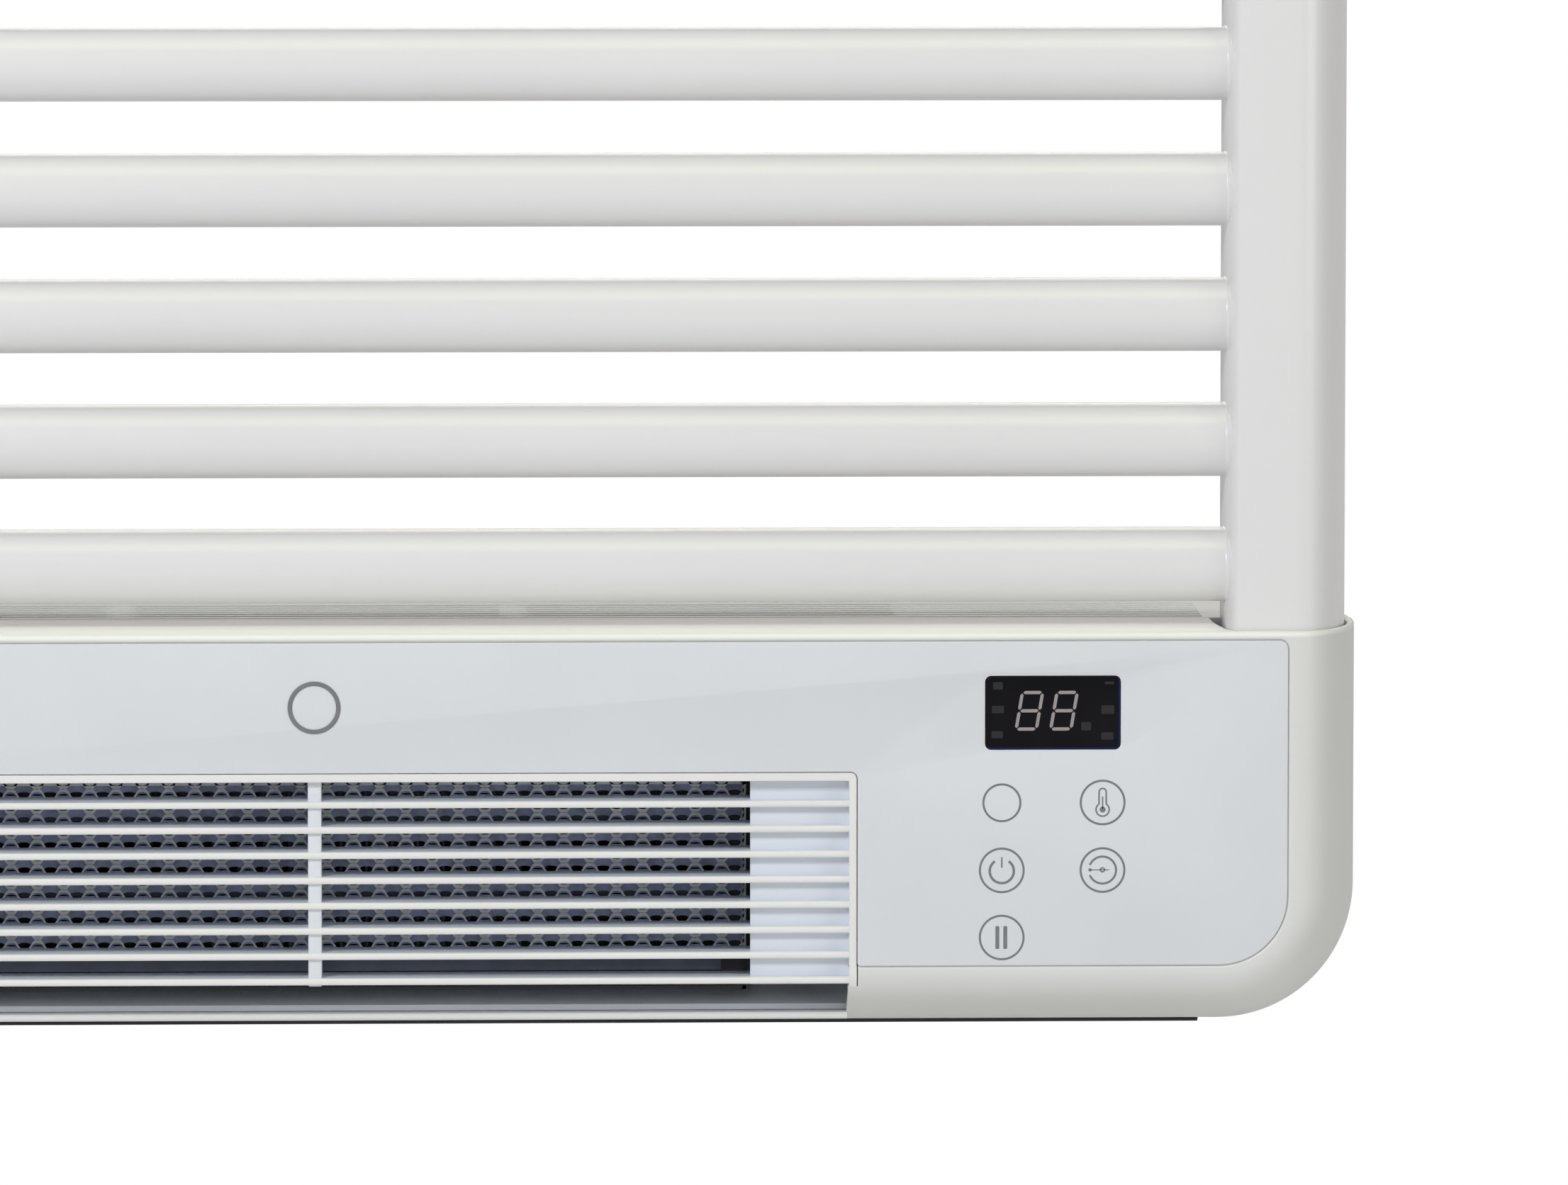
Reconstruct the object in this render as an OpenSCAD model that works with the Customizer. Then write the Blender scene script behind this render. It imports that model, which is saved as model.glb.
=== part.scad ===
// Electric towel radiator with a fan-heater housing across its foot.
// X runs along the bars, Y runs from the room to the wall (wall plane at Y = 0), Z is up.
// The origin is the middle of the four wall feet, on the wall plane.

/* [Tube frame] */
// Width over the two collectors
frame_w = 550; // [530:1:560]
// Width of a collector
collector_w = 33; // [31:0.5:34]
// Depth of a collector, front to back
collector_d = 38; // [36:0.5:40]
// Height of one bar
bar_h = 19.3; // [18:0.1:20]
// Depth of one bar, front to back
bar_d = 25; // [23:0.5:28]
// Spacing of the bars
bar_pitch = 33.3; // [32:0.1:36]
// Height of the lowest bar's centre over the housing's rim
first_bar = 16.5; // [15:0.1:19]
// Bars in the lower group
low_bars = 8; // [7:1:8]
// Bars in the middle group
mid_bars = 6; // [5:1:6]
// Bars in the upper group
top_bars = 5; // [4:1:5]
// Bar places left out between two groups, for a towel
towel_gap = 3; // [2:1:3]
// Collector above the highest bar's centre
collector_over = 28; // [24:1:34]

/* [Heater housing] */
// Distance from the wall to the fascia's face
total_d = 112; // [112:1:116]
// Height of the housing at its front
housing_h = 107.1; // [106.6:0.1:108]
// Half of the housing's width at its widest
housing_half_w = 278.2; // [278:0.1:279]
// Depth of the front cover, which is also the depth of its side rounding
cover_d = 44; // [44:0.5:46]
// Gap between the housing's back and the wall
back_gap = 12; // [12:1:14]
// Radius of the lower corners seen from the front
corner_r = 37; // [36:0.1:38]
// Wall thickness of the covers
wall = 2.2; // [2:0.1:2.4]

/* [Fascia] */
// Half of the fascia's width
fascia_half_w = 257.6; // [257:0.1:258]
// Drop from the rim to the fascia's top edge
fascia_drop = 2.2; // [2:0.1:2.6]
// Height of the fascia
fascia_h = 86.3; // [86:0.1:87]
// Thickness of the fascia
fascia_t = 2; // [1.8:0.1:2.2]
// Radius of the fascia's lower corners
fascia_r = 18.4; // [17:0.1:19]
// Display window's width
window_w = 35.7; // [34:0.1:37]
// Display window's height
window_h = 19.4; // [18:0.1:20]
// Display window's centre, from the middle of the housing
window_x = 195.3; // [194:0.1:196]
// Display window's centre, below the rim
window_drop = 21.2; // [21:0.1:21.4]

/* [Air outlet] */
// Half of the outlet's width, over the grille's frame
outlet_half_w = 143.4; // [142:0.1:144]
// Drop from the rim to the grille's top edge
outlet_drop = 37; // [36.5:0.1:37.5]
// Drop from the rim to the lip under the grille
lip_drop = 102.3; // [102.3:0.1:102.6]
// Number of grille blades
blade_count = 8; // [7:1:8]
// Spacing of the grille blades
blade_pitch = 6.72; // [6.68:0.01:6.76]
// Thickness of a grille blade
blade_t = 1.8; // [1.6:0.1:2]
// Depth of a grille blade
blade_d = 15; // [13:0.5:15]
// Half of the open width between the grille's blank ends
throat_half_w = 115.3; // [114:0.1:116]

/* [Fan] */
// Radius of the cross-flow rotor
rotor_r = 24; // [22:0.5:24]
// Half of the rotor's length
rotor_half = 112; // [110:1:112]
// Number of rotor blades
rotor_blades = 24; // [18:1:28]
// Radius of the fan shaft
shaft_r = 2.5; // [2:0.1:3]
// Distance from the wall to the rotor's axis
rotor_y = 47; // [46:0.5:48]
// Drop from the rim to the rotor's axis
rotor_drop = 63; // [62:0.5:64]

/* [Wall feet] */
// Spacing of the feet along X
foot_span_x = 520; // [516:1:522]
// Spacing of the feet along Z
foot_span_z = 560; // [540:1:600]
// Height of the lower feet over the housing's rim
low_foot = 210; // [200:1:230]
// Radius of a foot's screw hole
foot_hole_r = 2.75; // [2.5:0.05:3]

/* [Hidden] */
$fn = 48;
eps = 0.01;

rim_z = -low_foot - foot_span_z / 2;
front_y = -total_d;
seam_y = front_y + cover_d;
back_y = -back_gap;
half_frame = frame_w / 2;

// Collector section, in distances behind the fascia's face
collector_front = 5;
collector_back = collector_front + collector_d;
collector_in = half_frame - collector_w;
collector_wall = 1.5;
outer_round = [15, 30];
inner_round = [3, 12];
rear_round = 5;
collector_mid_x = foot_span_x / 2;
collector_mid_y = front_y + (collector_front + collector_back) / 2;
collector_foot_z = rim_z - 34;
bar_places = concat(
    [for (i = [0 : low_bars - 1]) i],
    [for (i = [0 : mid_bars - 1]) i + low_bars + towel_gap],
    [for (i = [0 : top_bars - 1]) i + low_bars + mid_bars + 2 * towel_gap]
);
bar_total = len(bar_places);
collector_top_z = rim_z + first_bar + bar_places[bar_total - 1] * bar_pitch + collector_over;
bar_y = front_y + collector_front + 3.5 + bar_d / 2;
bar_half_l = collector_in + collector_wall;
bar_wall = 1.2;
weld_gap = 0.08;

// Front outline of the housing where the side rounding starts
face_margin = 1.2;
face_half_w = fascia_half_w + face_margin;
face_bottom = fascia_drop + fascia_h + face_margin;
face_r = fascia_r + face_margin;
front_wall = 4.5;
rear_half_w = 262;
rear_bottom = 95;
rear_r = 30;
top_edge_r = 1.5;

// Fascia details
reveal = 0.35;
key_x = [window_x - 13.5, window_x + 13.2];
key_drop = [45.1, 63.1, 81];

// Fan unit
grille_t = 20;
grille_bottom = outlet_drop + 56.8;
guard_y = front_y + grille_t + 0.4;
heater_y = guard_y + 2;
heater_d = 10;
heater_top = rim_z - 41;
heater_bottom = rim_z - 92;
scroll_half = 118;
plate_t = 2;
motor_x = scroll_half + plate_t + 2;
motor_l = 36;

// Dust filter: it lies under the inlet and slides out to the right
filter_y = [-62, -23];
filter_drop = [9, 5];
filter_left = -165;
filter_rim = 4;
inlet_slot = 3.8;
inlet_pitch = 6.2;

// Rocker switch on the right side of the rear cover, square to the side wall
switch_y = -40;
switch_z = rim_z - 50;
switch_x = rear_side(switch_y - front_y);
switch_turn = 15;
switch_tilt = 9;
rocker_pivot = -1;

// Screw posts that tie the covers together
post_x = 232;
post_drop = [22, 78];
post_r = 4;
post_back = -24;

gland_x = -200;
gland_z = rim_z - 55;
gland_r = 8;
gland_bore_r = 4.2;

bar_names = [for (i = [1 : bar_total]) str("bar_", i < 10 ? "0" : "", i)];
foot_names = ["wall_foot_low_left", "wall_foot_low_right", "wall_foot_high_left", "wall_foot_high_right"];

// Points on a quarter of an ellipse, from start angle through 90 degrees
function quarter(cx, cy, ax, ay, start, steps = 8) =
    [for (i = [0 : steps]) [cx + ax * cos(start + i * 90 / steps), cy + ay * sin(start + i * 90 / steps)]];

// Section of the right-hand collector, grown by m all round
function collector_points(m) = let(
    left = collector_in - m,
    right = half_frame + m,
    front = front_y + collector_front - m,
    back = front_y + collector_back + m,
    oa = outer_round[0] + m,
    ob = outer_round[1] + m,
    ia = inner_round[0] + m,
    ib = inner_round[1] + m,
    rr = rear_round + m
) concat(
    quarter(left + ia, front + ib, ia, ib, 180),
    quarter(right - oa, front + ob, oa, ob, 270, 14),
    quarter(right - rr, back - rr, rr, rr, 0, 5),
    quarter(left + rr, back - rr, rr, rr, 90, 5)
);

module collector_prism(side, m, from_z, to_z) {
    mirror([side < 0 ? 1 : 0, 0, 0])
        translate([0, 0, from_z])
            linear_extrude(to_z - from_z)
                polygon(collector_points(m));
}

// Stadium section of a bar, lying along X and centred on the bar's axis
module bar_section(height, depth, length) {
    reach = (depth - height) / 2;
    rotate([0, 90, 0]) {
        translate([0, -reach, 0])
            cylinder(r = height / 2, h = length, center = true);
        translate([0, reach, 0])
            cylinder(r = height / 2, h = length, center = true);
        cube([height, 2 * reach, length], center = true);
    }
}

function bar_z(i) = rim_z + first_bar + bar_places[i] * bar_pitch;

module bar(i) {
    color("#dcdedd")
        translate([0, bar_y, bar_z(i)])
            difference() {
                bar_section(bar_h, bar_d, 2 * bar_half_l);
                bar_section(bar_h - 2 * bar_wall, bar_d - 2 * bar_wall, 2 * bar_half_l + 2);
            }
}

module collector(side) {
    boss_hole_r = 10.6;
    color("#d3d5d2")
        difference() {
            collector_prism(side, 0, collector_foot_z, collector_top_z);
            collector_prism(side, -collector_wall, collector_foot_z + 3, collector_top_z + 1);
            for (i = [0 : bar_total - 1])
                translate([side * (collector_in + 2), bar_y, bar_z(i)])
                    bar_section(bar_h + 2 * weld_gap, bar_d + 2 * weld_gap, 10);
            translate([side * collector_mid_x, collector_mid_y, collector_foot_z - 1])
                cylinder(r = boss_hole_r, h = 6);
        }
}

module left_collector() {
    collector(-1);
}

module right_collector() {
    collector(1);
}

// Lid that closes a collector, with a spigot inside the tube
module top_cap(side) {
    color("#d8dad8") {
        collector_prism(side, 0, collector_top_z, collector_top_z + 2.5);
        collector_prism(side, -collector_wall - 0.15, collector_top_z - 6, collector_top_z);
    }
}

module left_top_cap() {
    top_cap(-1);
}

module right_top_cap() {
    top_cap(1);
}

// Heating rod with its screwed head, in the foot of the left collector
module immersion_heater() {
    color("#b9b4a2")
        translate([-collector_mid_x, collector_mid_y, 0]) {
            translate([0, 0, collector_foot_z - 8])
                cylinder(r = 13, h = 6.4, $fn = 6);
            translate([0, 0, collector_foot_z - 2])
                cylinder(r = 10.3, h = 12);
            translate([0, 0, collector_foot_z + 9])
                cylinder(r = 4, h = 520);
            for (x = [-5, 5])
                translate([x, 0, collector_foot_z - 18])
                    cylinder(r = 1.6, h = 11);
        }
}

module heater_gasket() {
    color("#2f2f31")
        translate([-collector_mid_x, collector_mid_y, collector_foot_z - 1.6])
            difference() {
                cylinder(r = 12.5, h = 1.6);
                translate([0, 0, -1])
                    cylinder(r = 10.6, h = 4);
            }
}

// Plug that closes the filling hole, in the foot of the right collector
module blind_plug() {
    color("#b9b4a2")
        translate([collector_mid_x, collector_mid_y, 0]) {
            translate([0, 0, collector_foot_z - 6])
                cylinder(r = 13, h = 6, $fn = 6);
            translate([0, 0, collector_foot_z - 1])
                cylinder(r = 10.3, h = 10);
        }
}

// Wall foot: a round cup with a flange and one screw hole in its floor
module wall_foot(side_x, side_z) {
    cup_r = 12;
    cup_l = 46;
    stem_r = 8;
    color("#e0e1df")
        translate([side_x * foot_span_x / 2, 0, side_z * foot_span_z / 2])
            rotate([90, 0, 0])
                difference() {
                    union() {
                        cylinder(r = 20, h = 4);
                        cylinder(r = cup_r, h = cup_l);
                    }
                    translate([0, 0, 4])
                        cylinder(r = stem_r + 0.3, h = cup_l);
                    translate([0, 0, -1])
                        cylinder(r = foot_hole_r, h = 6);
                    translate([0, 0, cup_l - 6])
                        rotate([90, 0, 0])
                            cylinder(r = 2.2, h = 20);
                }
}

// Stems welded to the backs of the collectors, which slide into the feet
module bracket_stems() {
    stem_back = -31;
    color("#c9cbcb")
        for (sx = [-1, 1], sz = [-1, 1])
            translate([sx * foot_span_x / 2, stem_back, sz * foot_span_z / 2])
                rotate([90, 0, 0])
                    cylinder(r = 8, h = stem_back - (front_y + collector_back));
}

// Grub screws that lock the stems, one in each cup
module foot_set_screws() {
    color("#8d9094")
        for (sx = [-1, 1], sz = [-1, 1])
            translate([sx * foot_span_x / 2, -40, sz * foot_span_z / 2 - 14])
                difference() {
                    cylinder(r = 2.1, h = 5.9);
                    translate([0, 0, -1])
                        cylinder(r = 1.2, h = 3, $fn = 6);
                }
}

// How far the side rounding has still to go, from 1 at the face to 0 at the seam
function rounding(t) = 1 - sqrt(1 - pow(1 - min(t, cover_d) / cover_d, 2));
// Fillet along the front top edge
function top_fillet(t) = t < top_edge_r ? top_edge_r - sqrt(pow(top_edge_r, 2) - pow(top_edge_r - t, 2)) : 0;
function mix(a, b, k) = a + (b - a) * k;

// One thin slice of the housing's outline: straight top, round lower corners
module outline_slice(y, half_w, top, bottom, r) {
    translate([0, y + eps, rim_z])
        rotate([90, 0, 0])
            linear_extrude(eps) {
                for (side = [-1, 1])
                    translate([side * (half_w - r), r - bottom])
                        circle(r = r, $fn = 56);
                translate([-half_w, -top - 1])
                    square([2 * half_w, 1]);
            }
}

// Front half of the housing as a solid, drawn in by m
module front_mass(m, from_t, to_t) {
    hull()
        for (t = [from_t, from_t + 0.4, from_t + 1.5, from_t + 3, 7, 10, 14, 19, 26, 34, to_t]) {
            k = rounding(t - min(m, t));
            outline_slice(
                front_y + t,
                mix(housing_half_w, face_half_w, k) - m,
                top_fillet(t) + m,
                mix(housing_h, face_bottom, k) - m,
                mix(corner_r, face_r, k) - m
            );
        }
}

// How far the rear cover has drawn in, from 0 at the seam to 1 at its back
function draw_in(t) = pow(max(t - cover_d, 0) / (total_d - back_gap - cover_d), 2.2);
// Half width of the rear cover, t behind the fascia's face
function rear_side(t) = mix(housing_half_w, rear_half_w, draw_in(t));

// Rear half of the housing as a solid, drawn in by m
module rear_mass(m, from_t, to_t) {
    hull()
        for (i = [0 : 8]) {
            t = mix(from_t, to_t, i / 8);
            k = draw_in(t);
            outline_slice(
                front_y + t,
                rear_side(t) - m,
                m,
                mix(housing_h, rear_bottom, k) - m,
                mix(corner_r, rear_r, k) - m
            );
        }
}

// Flat plate with the fascia's outline, grown by m; it is open below the outlet
module fascia_plate(m, y, thick) {
    top = rim_z - fascia_drop + m;
    bottom = rim_z - fascia_drop - fascia_h - m;
    half_w = fascia_half_w + m;
    low_r = fascia_r + m;
    top_r = 2.3 + m;
    translate([0, y + thick, 0])
        rotate([90, 0, 0])
            linear_extrude(thick)
                polygon(concat(
                    quarter(half_w - top_r, top - top_r, top_r, top_r, 0, 5),
                    quarter(top_r - half_w, top - top_r, top_r, top_r, 90, 5),
                    quarter(low_r - half_w, bottom + low_r, low_r, low_r, 180, 10),
                    quarter(half_w - low_r, bottom + low_r, low_r, low_r, 270, 10)
                ));
}

// Box from its two corners
module block(low, high) {
    translate(low)
        cube(high - low);
}

// Box across the outlet, from one drop below the rim to another
module outlet_block(half_w, top, bottom, from_y, to_y) {
    block([-half_w, from_y, rim_z - bottom], [half_w, to_y, rim_z - top]);
}

module window_block(m, from_y, to_y) {
    block(
        [window_x - window_w / 2 - m, from_y, rim_z - window_drop - window_h / 2 - m],
        [window_x + window_w / 2 + m, to_y, rim_z - window_drop + window_h / 2 + m]
    );
}

// Front cover: rounded shell with a seat for the fascia, the outlet and two collector notches
module front_cover() {
    bead_half_l = 236;
    bead_r = 1.5;
    outlet_back = front_y + 30;
    notch_bottom = rim_z - 50;
    color("#d6d7d2") {
        difference() {
            front_mass(0, 0, cover_d);
            difference() {
                front_mass(wall, front_wall, cover_d + 1);
                // solid ribs beside the outlet
                for (side = [-1, 1])
                    translate([side * (outlet_half_w + 1.6) - 1, front_y, rim_z - housing_h])
                        cube([2, 14, housing_h]);
            }
            fascia_plate(reveal, front_y - 1, fascia_t + 1.1);
            outlet_block(outlet_half_w + 0.3, outlet_drop - 0.3, grille_bottom + 0.2, front_y - 1, outlet_back);
            outlet_block(outlet_half_w - 2.2, grille_bottom, lip_drop, front_y - 1, outlet_back);
            outlet_block(outlet_half_w + 0.3, grille_bottom, lip_drop, front_y + 16, outlet_back);
            window_block(-1.2, front_y, front_y + 10);
            for (side = [-1, 1])
                collector_prism(side, 0.6, notch_bottom, rim_z + 1);
            for (turn = [0, 1])
                mirror([turn, 0, 0])
                    block([collector_in - 0.6, seam_y - 6, notch_bottom],
                        [half_frame + 0.6, seam_y + 1, rim_z + 1]);
        }
        // sealing bead along the underside
        translate([-bead_half_l, front_y + 33, rim_z - housing_h + bead_r - 0.5])
            rotate([0, 90, 0])
                cylinder(r = bead_r, h = 2 * bead_half_l, $fn = 16);
        for (side = [-1, 1], drop = post_drop)
            translate([side * post_x, post_back, rim_z - drop])
                rotate([90, 0, 0])
                    difference() {
                        cylinder(r = post_r, h = total_d + post_back - front_wall + 0.5);
                        translate([0, 0, -1])
                            cylinder(r = 1.4, h = 16);
                    }
    }
}

// Rear cover: bowl with the air inlet on top, filter slot and switch hole on the right
module rear_cover() {
    rails = [[filter_y[0] - 1, filter_y[0] + 2.5], [filter_y[1] - 2.5, filter_y[1] + 1]];
    color("#cfd0cc")
        difference() {
            union() {
                difference() {
                    rear_mass(0, cover_d + 0.2, total_d - back_gap);
                    rear_mass(wall, cover_d - 1, total_d - back_gap - wall);
                }
                // ledges that carry the dust filter
                for (rail = rails)
                    block([filter_left - 4, rail[0], rim_z - filter_drop[0] - 2],
                        [254, rail[1], rim_z - filter_drop[0] - 0.3]);
                block([filter_left - 4, filter_y[0] - 2.2, rim_z - filter_drop[0] - 2],
                    [254, filter_y[0] - 0.5, rim_z - 0.5]);
                block([filter_left - 4, filter_y[1] + 0.5, rim_z - filter_drop[0] - 2],
                    [254, filter_y[1] + 2.2, rim_z - 0.5]);
                // seats behind the screw posts
                for (side = [-1, 1], drop = post_drop)
                    translate([side * post_x, back_y - 0.5, rim_z - drop])
                        rotate([90, 0, 0])
                            cylinder(r = 6, h = back_y - post_back - 0.7);
            }
            // inlet slots
            for (i = [0 : 5], bank = [-1, 0, 1])
                block(
                    [bank * 106 - 50, filter_y[0] + 3 + i * inlet_pitch, rim_z - 4],
                    [bank * 106 + 50, filter_y[0] + 3 + i * inlet_pitch + inlet_slot, rim_z + 1]
                );
            // slot for the filter's end
            block([250, filter_y[0] - 0.5, rim_z - filter_drop[0] - 0.3],
                [290, filter_y[1] + 0.5, rim_z - filter_drop[1] + 0.4]);
            // hole for the rocker switch
            at_switch()
                block([-22, -9.7, -13.7], [10, 9.7, 13.7]);
            // hole for the cable gland
            translate([gland_x, back_y + 1, gland_z])
                rotate([90, 0, 0])
                    cylinder(r = gland_r + 0.1, h = 10);
            // screw holes with sunk heads
            for (side = [-1, 1], drop = post_drop)
                translate([side * post_x, back_y + 1, rim_z - drop])
                    rotate([90, 0, 0]) {
                        cylinder(r = 1.8, h = 14);
                        cylinder(r = 3.4, h = 8);
                    }
        }
}

// Fascia: flat panel in two wings and a bridge over the outlet
module fascia_panel() {
    color("#d3d6da")
        difference() {
            fascia_plate(0, front_y, fascia_t);
            outlet_block(outlet_half_w + reveal, outlet_drop - reveal, housing_h, front_y - 1, front_y + 5);
            window_block(0.15, front_y - 1, front_y + 5);
            translate([0, front_y + 0.5, rim_z - 19.3])
                badge(0.05, 2);
        }
}

// Ring lying in the XZ plane, grown by m, that runs towards the room
module badge(m, thick) {
    rotate([90, 0, 0])
        difference() {
            cylinder(r = 7 + m, h = thick);
            translate([0, 0, -1])
                cylinder(r = 5.8 - m, h = thick + 2);
        }
}

module badge_ring() {
    color("#5c5c5e")
        translate([0, front_y + 0.5, rim_z - 19.3])
            badge(0, 0.8);
}

module display_window() {
    color("#15161c")
        window_block(0, front_y, front_y + 1.6);
}

// Light display behind the window: a block with two seven-segment digits
module display_module() {
    seg_t = 1.1;
    digit_w = 7;
    digit_h = 11.2;
    face = front_y + 2.4;
    centre_x = window_x - 1.9;
    centre_z = rim_z - window_drop + 0.6;
    color("#2b2c33") {
        block([window_x - 16.3, face, rim_z - window_drop - 8.2],
            [window_x + 16.3, face + 4.6, rim_z - window_drop + 8.2]);
        for (digit = [-1, 1])
            translate([centre_x + digit * 4.6, face, centre_z]) {
                for (row = [-1, 0, 1])
                    translate([-digit_w / 2 + 1, -0.4, row * (digit_h - seg_t) / 2 - seg_t / 2])
                        cube([digit_w - 2, 0.6, seg_t]);
                for (col = [-1, 1], row = [-1, 1])
                    translate([col * (digit_w - seg_t) / 2 - seg_t / 2, -0.4, (row - 1) * digit_h / 4 + 0.7])
                        cube([seg_t, 0.6, digit_h / 2 - 1.4]);
            }
    }
}

// Foil behind the fascia with a sensor pad for each of the five touch keys
module touch_foil() {
    face = front_y + front_wall + 0.1;
    pads = [[0, 0], [0, 1], [0, 2], [1, 0], [1, 1]];
    color("#8a6f3a") {
        block([172, face, rim_z - 88], [218, face + 0.4, rim_z - 37]);
        for (pad = pads)
            translate([key_x[pad[0]], face + 0.6, rim_z - key_drop[pad[1]]])
                rotate([90, 0, 0])
                    cylinder(r = 5, h = 0.4);
    }
}

module control_board() {
    face = front_y + 7.6;
    color("#2f6b3f")
        block([152, face, rim_z - 90], [226, face + 1.6, rim_z - 11]);
    color("#2a2a2c") {
        block([165, face + 1.5, rim_z - 50], [183, face + 4, rim_z - 32]);
        block([195, face + 1.5, rim_z - 80], [215, face + 9, rim_z - 70]);
        block([160, face + 1.5, rim_z - 84], [172, face + 7, rim_z - 64]);
    }
}

module power_board() {
    face = -34;
    color("#2f6b3f")
        block([168, face, rim_z - 88], [226, face + 1.6, rim_z - 15]);
    color("#3b3b3e") {
        block([174, face - 16, rim_z - 84], [194, face + 0.1, rim_z - 68]);
        block([198, face - 16, rim_z - 84], [218, face + 0.1, rim_z - 68]);
        block([176, face - 12, rim_z - 58], [204, face + 0.1, rim_z - 34]);
    }
    color("#4a5c8a")
        translate([214, face + 0.1, rim_z - 44])
            rotate([90, 0, 0])
                cylinder(r = 6, h = 18);
}

// Posts that carry the two boards
module board_spacers() {
    color("#c9b878") {
        for (x = [156, 222], drop = [15, 86])
            translate([x, front_y + 7.5, rim_z - drop])
                rotate([90, 0, 0])
                    cylinder(r = 2.4, h = 2.9);
        for (x = [172, 222], drop = [19, 84])
            translate([x, back_y - wall - 0.1, rim_z - drop])
                rotate([90, 0, 0])
                    cylinder(r = 2.4, h = 18);
    }
}

module terminal_block() {
    color("#ded9c4")
        difference() {
            block([-236, -62, rim_z - 68], [-196, -44, rim_z - 56]);
            for (i = [0 : 3])
                translate([-231 + i * 10, -53, rim_z - 62])
                    cylinder(r = 2.6, h = 10);
        }
}

// Outlet grille: frame, blades, centre rib and two blank ends
module outlet_grille() {
    frame_t = 2;
    inner = outlet_half_w - frame_t;
    inner_top = outlet_drop + 2.2;
    first_blade = outlet_drop + 8.4;
    color("#dddedb") {
        outlet_block(outlet_half_w, outlet_drop, inner_top, front_y + 0.3, front_y + grille_t);
        for (side = [-1, 1]) {
            block(
                [side * (outlet_half_w - frame_t / 2) - frame_t / 2, front_y + 0.3, rim_z - grille_bottom],
                [side * (outlet_half_w - frame_t / 2) + frame_t / 2, front_y + grille_t, rim_z - outlet_drop]
            );
            mirror([side < 0 ? 1 : 0, 0, 0])
                block([throat_half_w, front_y + 5, rim_z - grille_bottom],
                    [inner + 0.5, front_y + 7.6, rim_z - inner_top + 0.5]);
        }
        for (i = [0 : blade_count - 1])
            outlet_block(inner + 0.5, first_blade + i * blade_pitch - blade_t / 2,
                first_blade + i * blade_pitch + blade_t / 2, front_y + 1.4, front_y + 1.4 + blade_d);
        outlet_block(1.8, inner_top - 0.5, grille_bottom, front_y + 3, front_y + 18);
    }
}

// Open mesh between the grille and the heater
module heater_guard() {
    wire = 1;
    cell = 13.6;
    half = 114.6;
    top = rim_z - 41;
    bottom = rim_z - 97;
    color("#3a3d47") {
        for (i = [-8 : 8])
            block([i * cell - wire / 2, guard_y, bottom], [i * cell + wire / 2, guard_y + 0.8, top]);
        for (i = [0 : 8])
            block([-half, guard_y, top - i * (top - bottom - wire) / 8 - wire],
                [half, guard_y + 0.8, top - i * (top - bottom - wire) / 8]);
    }
}

// Channels that hold the heater's two ends
module heater_frame() {
    color("#9c9588")
        for (turn = [0, 1])
            mirror([turn, 0, 0])
                difference() {
                    block([108, heater_y - 0.8, heater_bottom - 1.6],
                        [117.4, heater_y + heater_d + 1.2, heater_top + 0.4]);
                    block([107, heater_y - 0.3, heater_bottom - 0.3],
                        [112.6, heater_y + heater_d + 0.3, heater_top + 0.2]);
                }
}

// Heater: rows of fins between flat ceramic bars
module heater_element() {
    rows = 5;
    bar_t = 3;
    fin_pitch = 6.8;
    rise = (heater_top - heater_bottom - bar_t) / rows;
    color("#4b4d55") {
        for (i = [0 : rows])
            block([-112, heater_y, heater_bottom + i * rise],
                [112, heater_y + heater_d, heater_bottom + i * rise + bar_t]);
        for (i = [-16 : 16])
            block([i * fin_pitch - 0.4, heater_y + 0.5, heater_bottom + 1],
                [i * fin_pitch + 0.4, heater_y + heater_d - 0.5, heater_top - 1]);
    }
}

// Lays a YZ outline along X, from from_x for length
module along_x(from_x, length) {
    translate([from_x, 0, rim_z])
        rotate([90, 0, 90])
            linear_extrude(length)
                children();
}

// Cross-flow rotor: discs joined by a ring of forward-leaning blades
module fan_rotor() {
    disc_t = 1.6;
    discs = 4;
    color("#31343c")
        difference() {
            union() {
                for (i = [0 : discs - 1])
                    translate([
                        mix(-rotor_half, rotor_half - disc_t, i / (discs - 1)),
                        -rotor_y,
                        rim_z - rotor_drop
                    ])
                        rotate([0, 90, 0])
                            cylinder(r = rotor_r, h = disc_t);
                along_x(-rotor_half, 2 * rotor_half)
                    for (i = [0 : rotor_blades - 1])
                        translate([-rotor_y, -rotor_drop])
                            rotate(i * 360 / rotor_blades)
                                translate([rotor_r - 3.8, 0])
                                    rotate(35)
                                        square([6, 0.9], center = true);
            }
            translate([-rotor_half - 1, -rotor_y, rim_z - rotor_drop])
                rotate([0, 90, 0])
                    cylinder(r = shaft_r + 0.04, h = 2 * rotor_half + 2);
        }
}

module fan_shaft() {
    color("#a9adb2")
        translate([-scroll_half - 7, -rotor_y, rim_z - rotor_drop])
            rotate([0, 90, 0])
                cylinder(r = shaft_r, h = 2 * scroll_half + 50);
}

// Rubber bush that carries the shaft's left end
module fan_bush() {
    color("#27272a")
        translate([-scroll_half - 6, -rotor_y, rim_z - rotor_drop])
            rotate([0, 90, 0])
                difference() {
                    union() {
                        cylinder(r = 5.9, h = 8);
                        cylinder(r = 9, h = 6 - plate_t - 0.1);
                    }
                    translate([0, 0, -1])
                        cylinder(r = shaft_r + 0.06, h = 10);
                }
}

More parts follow.
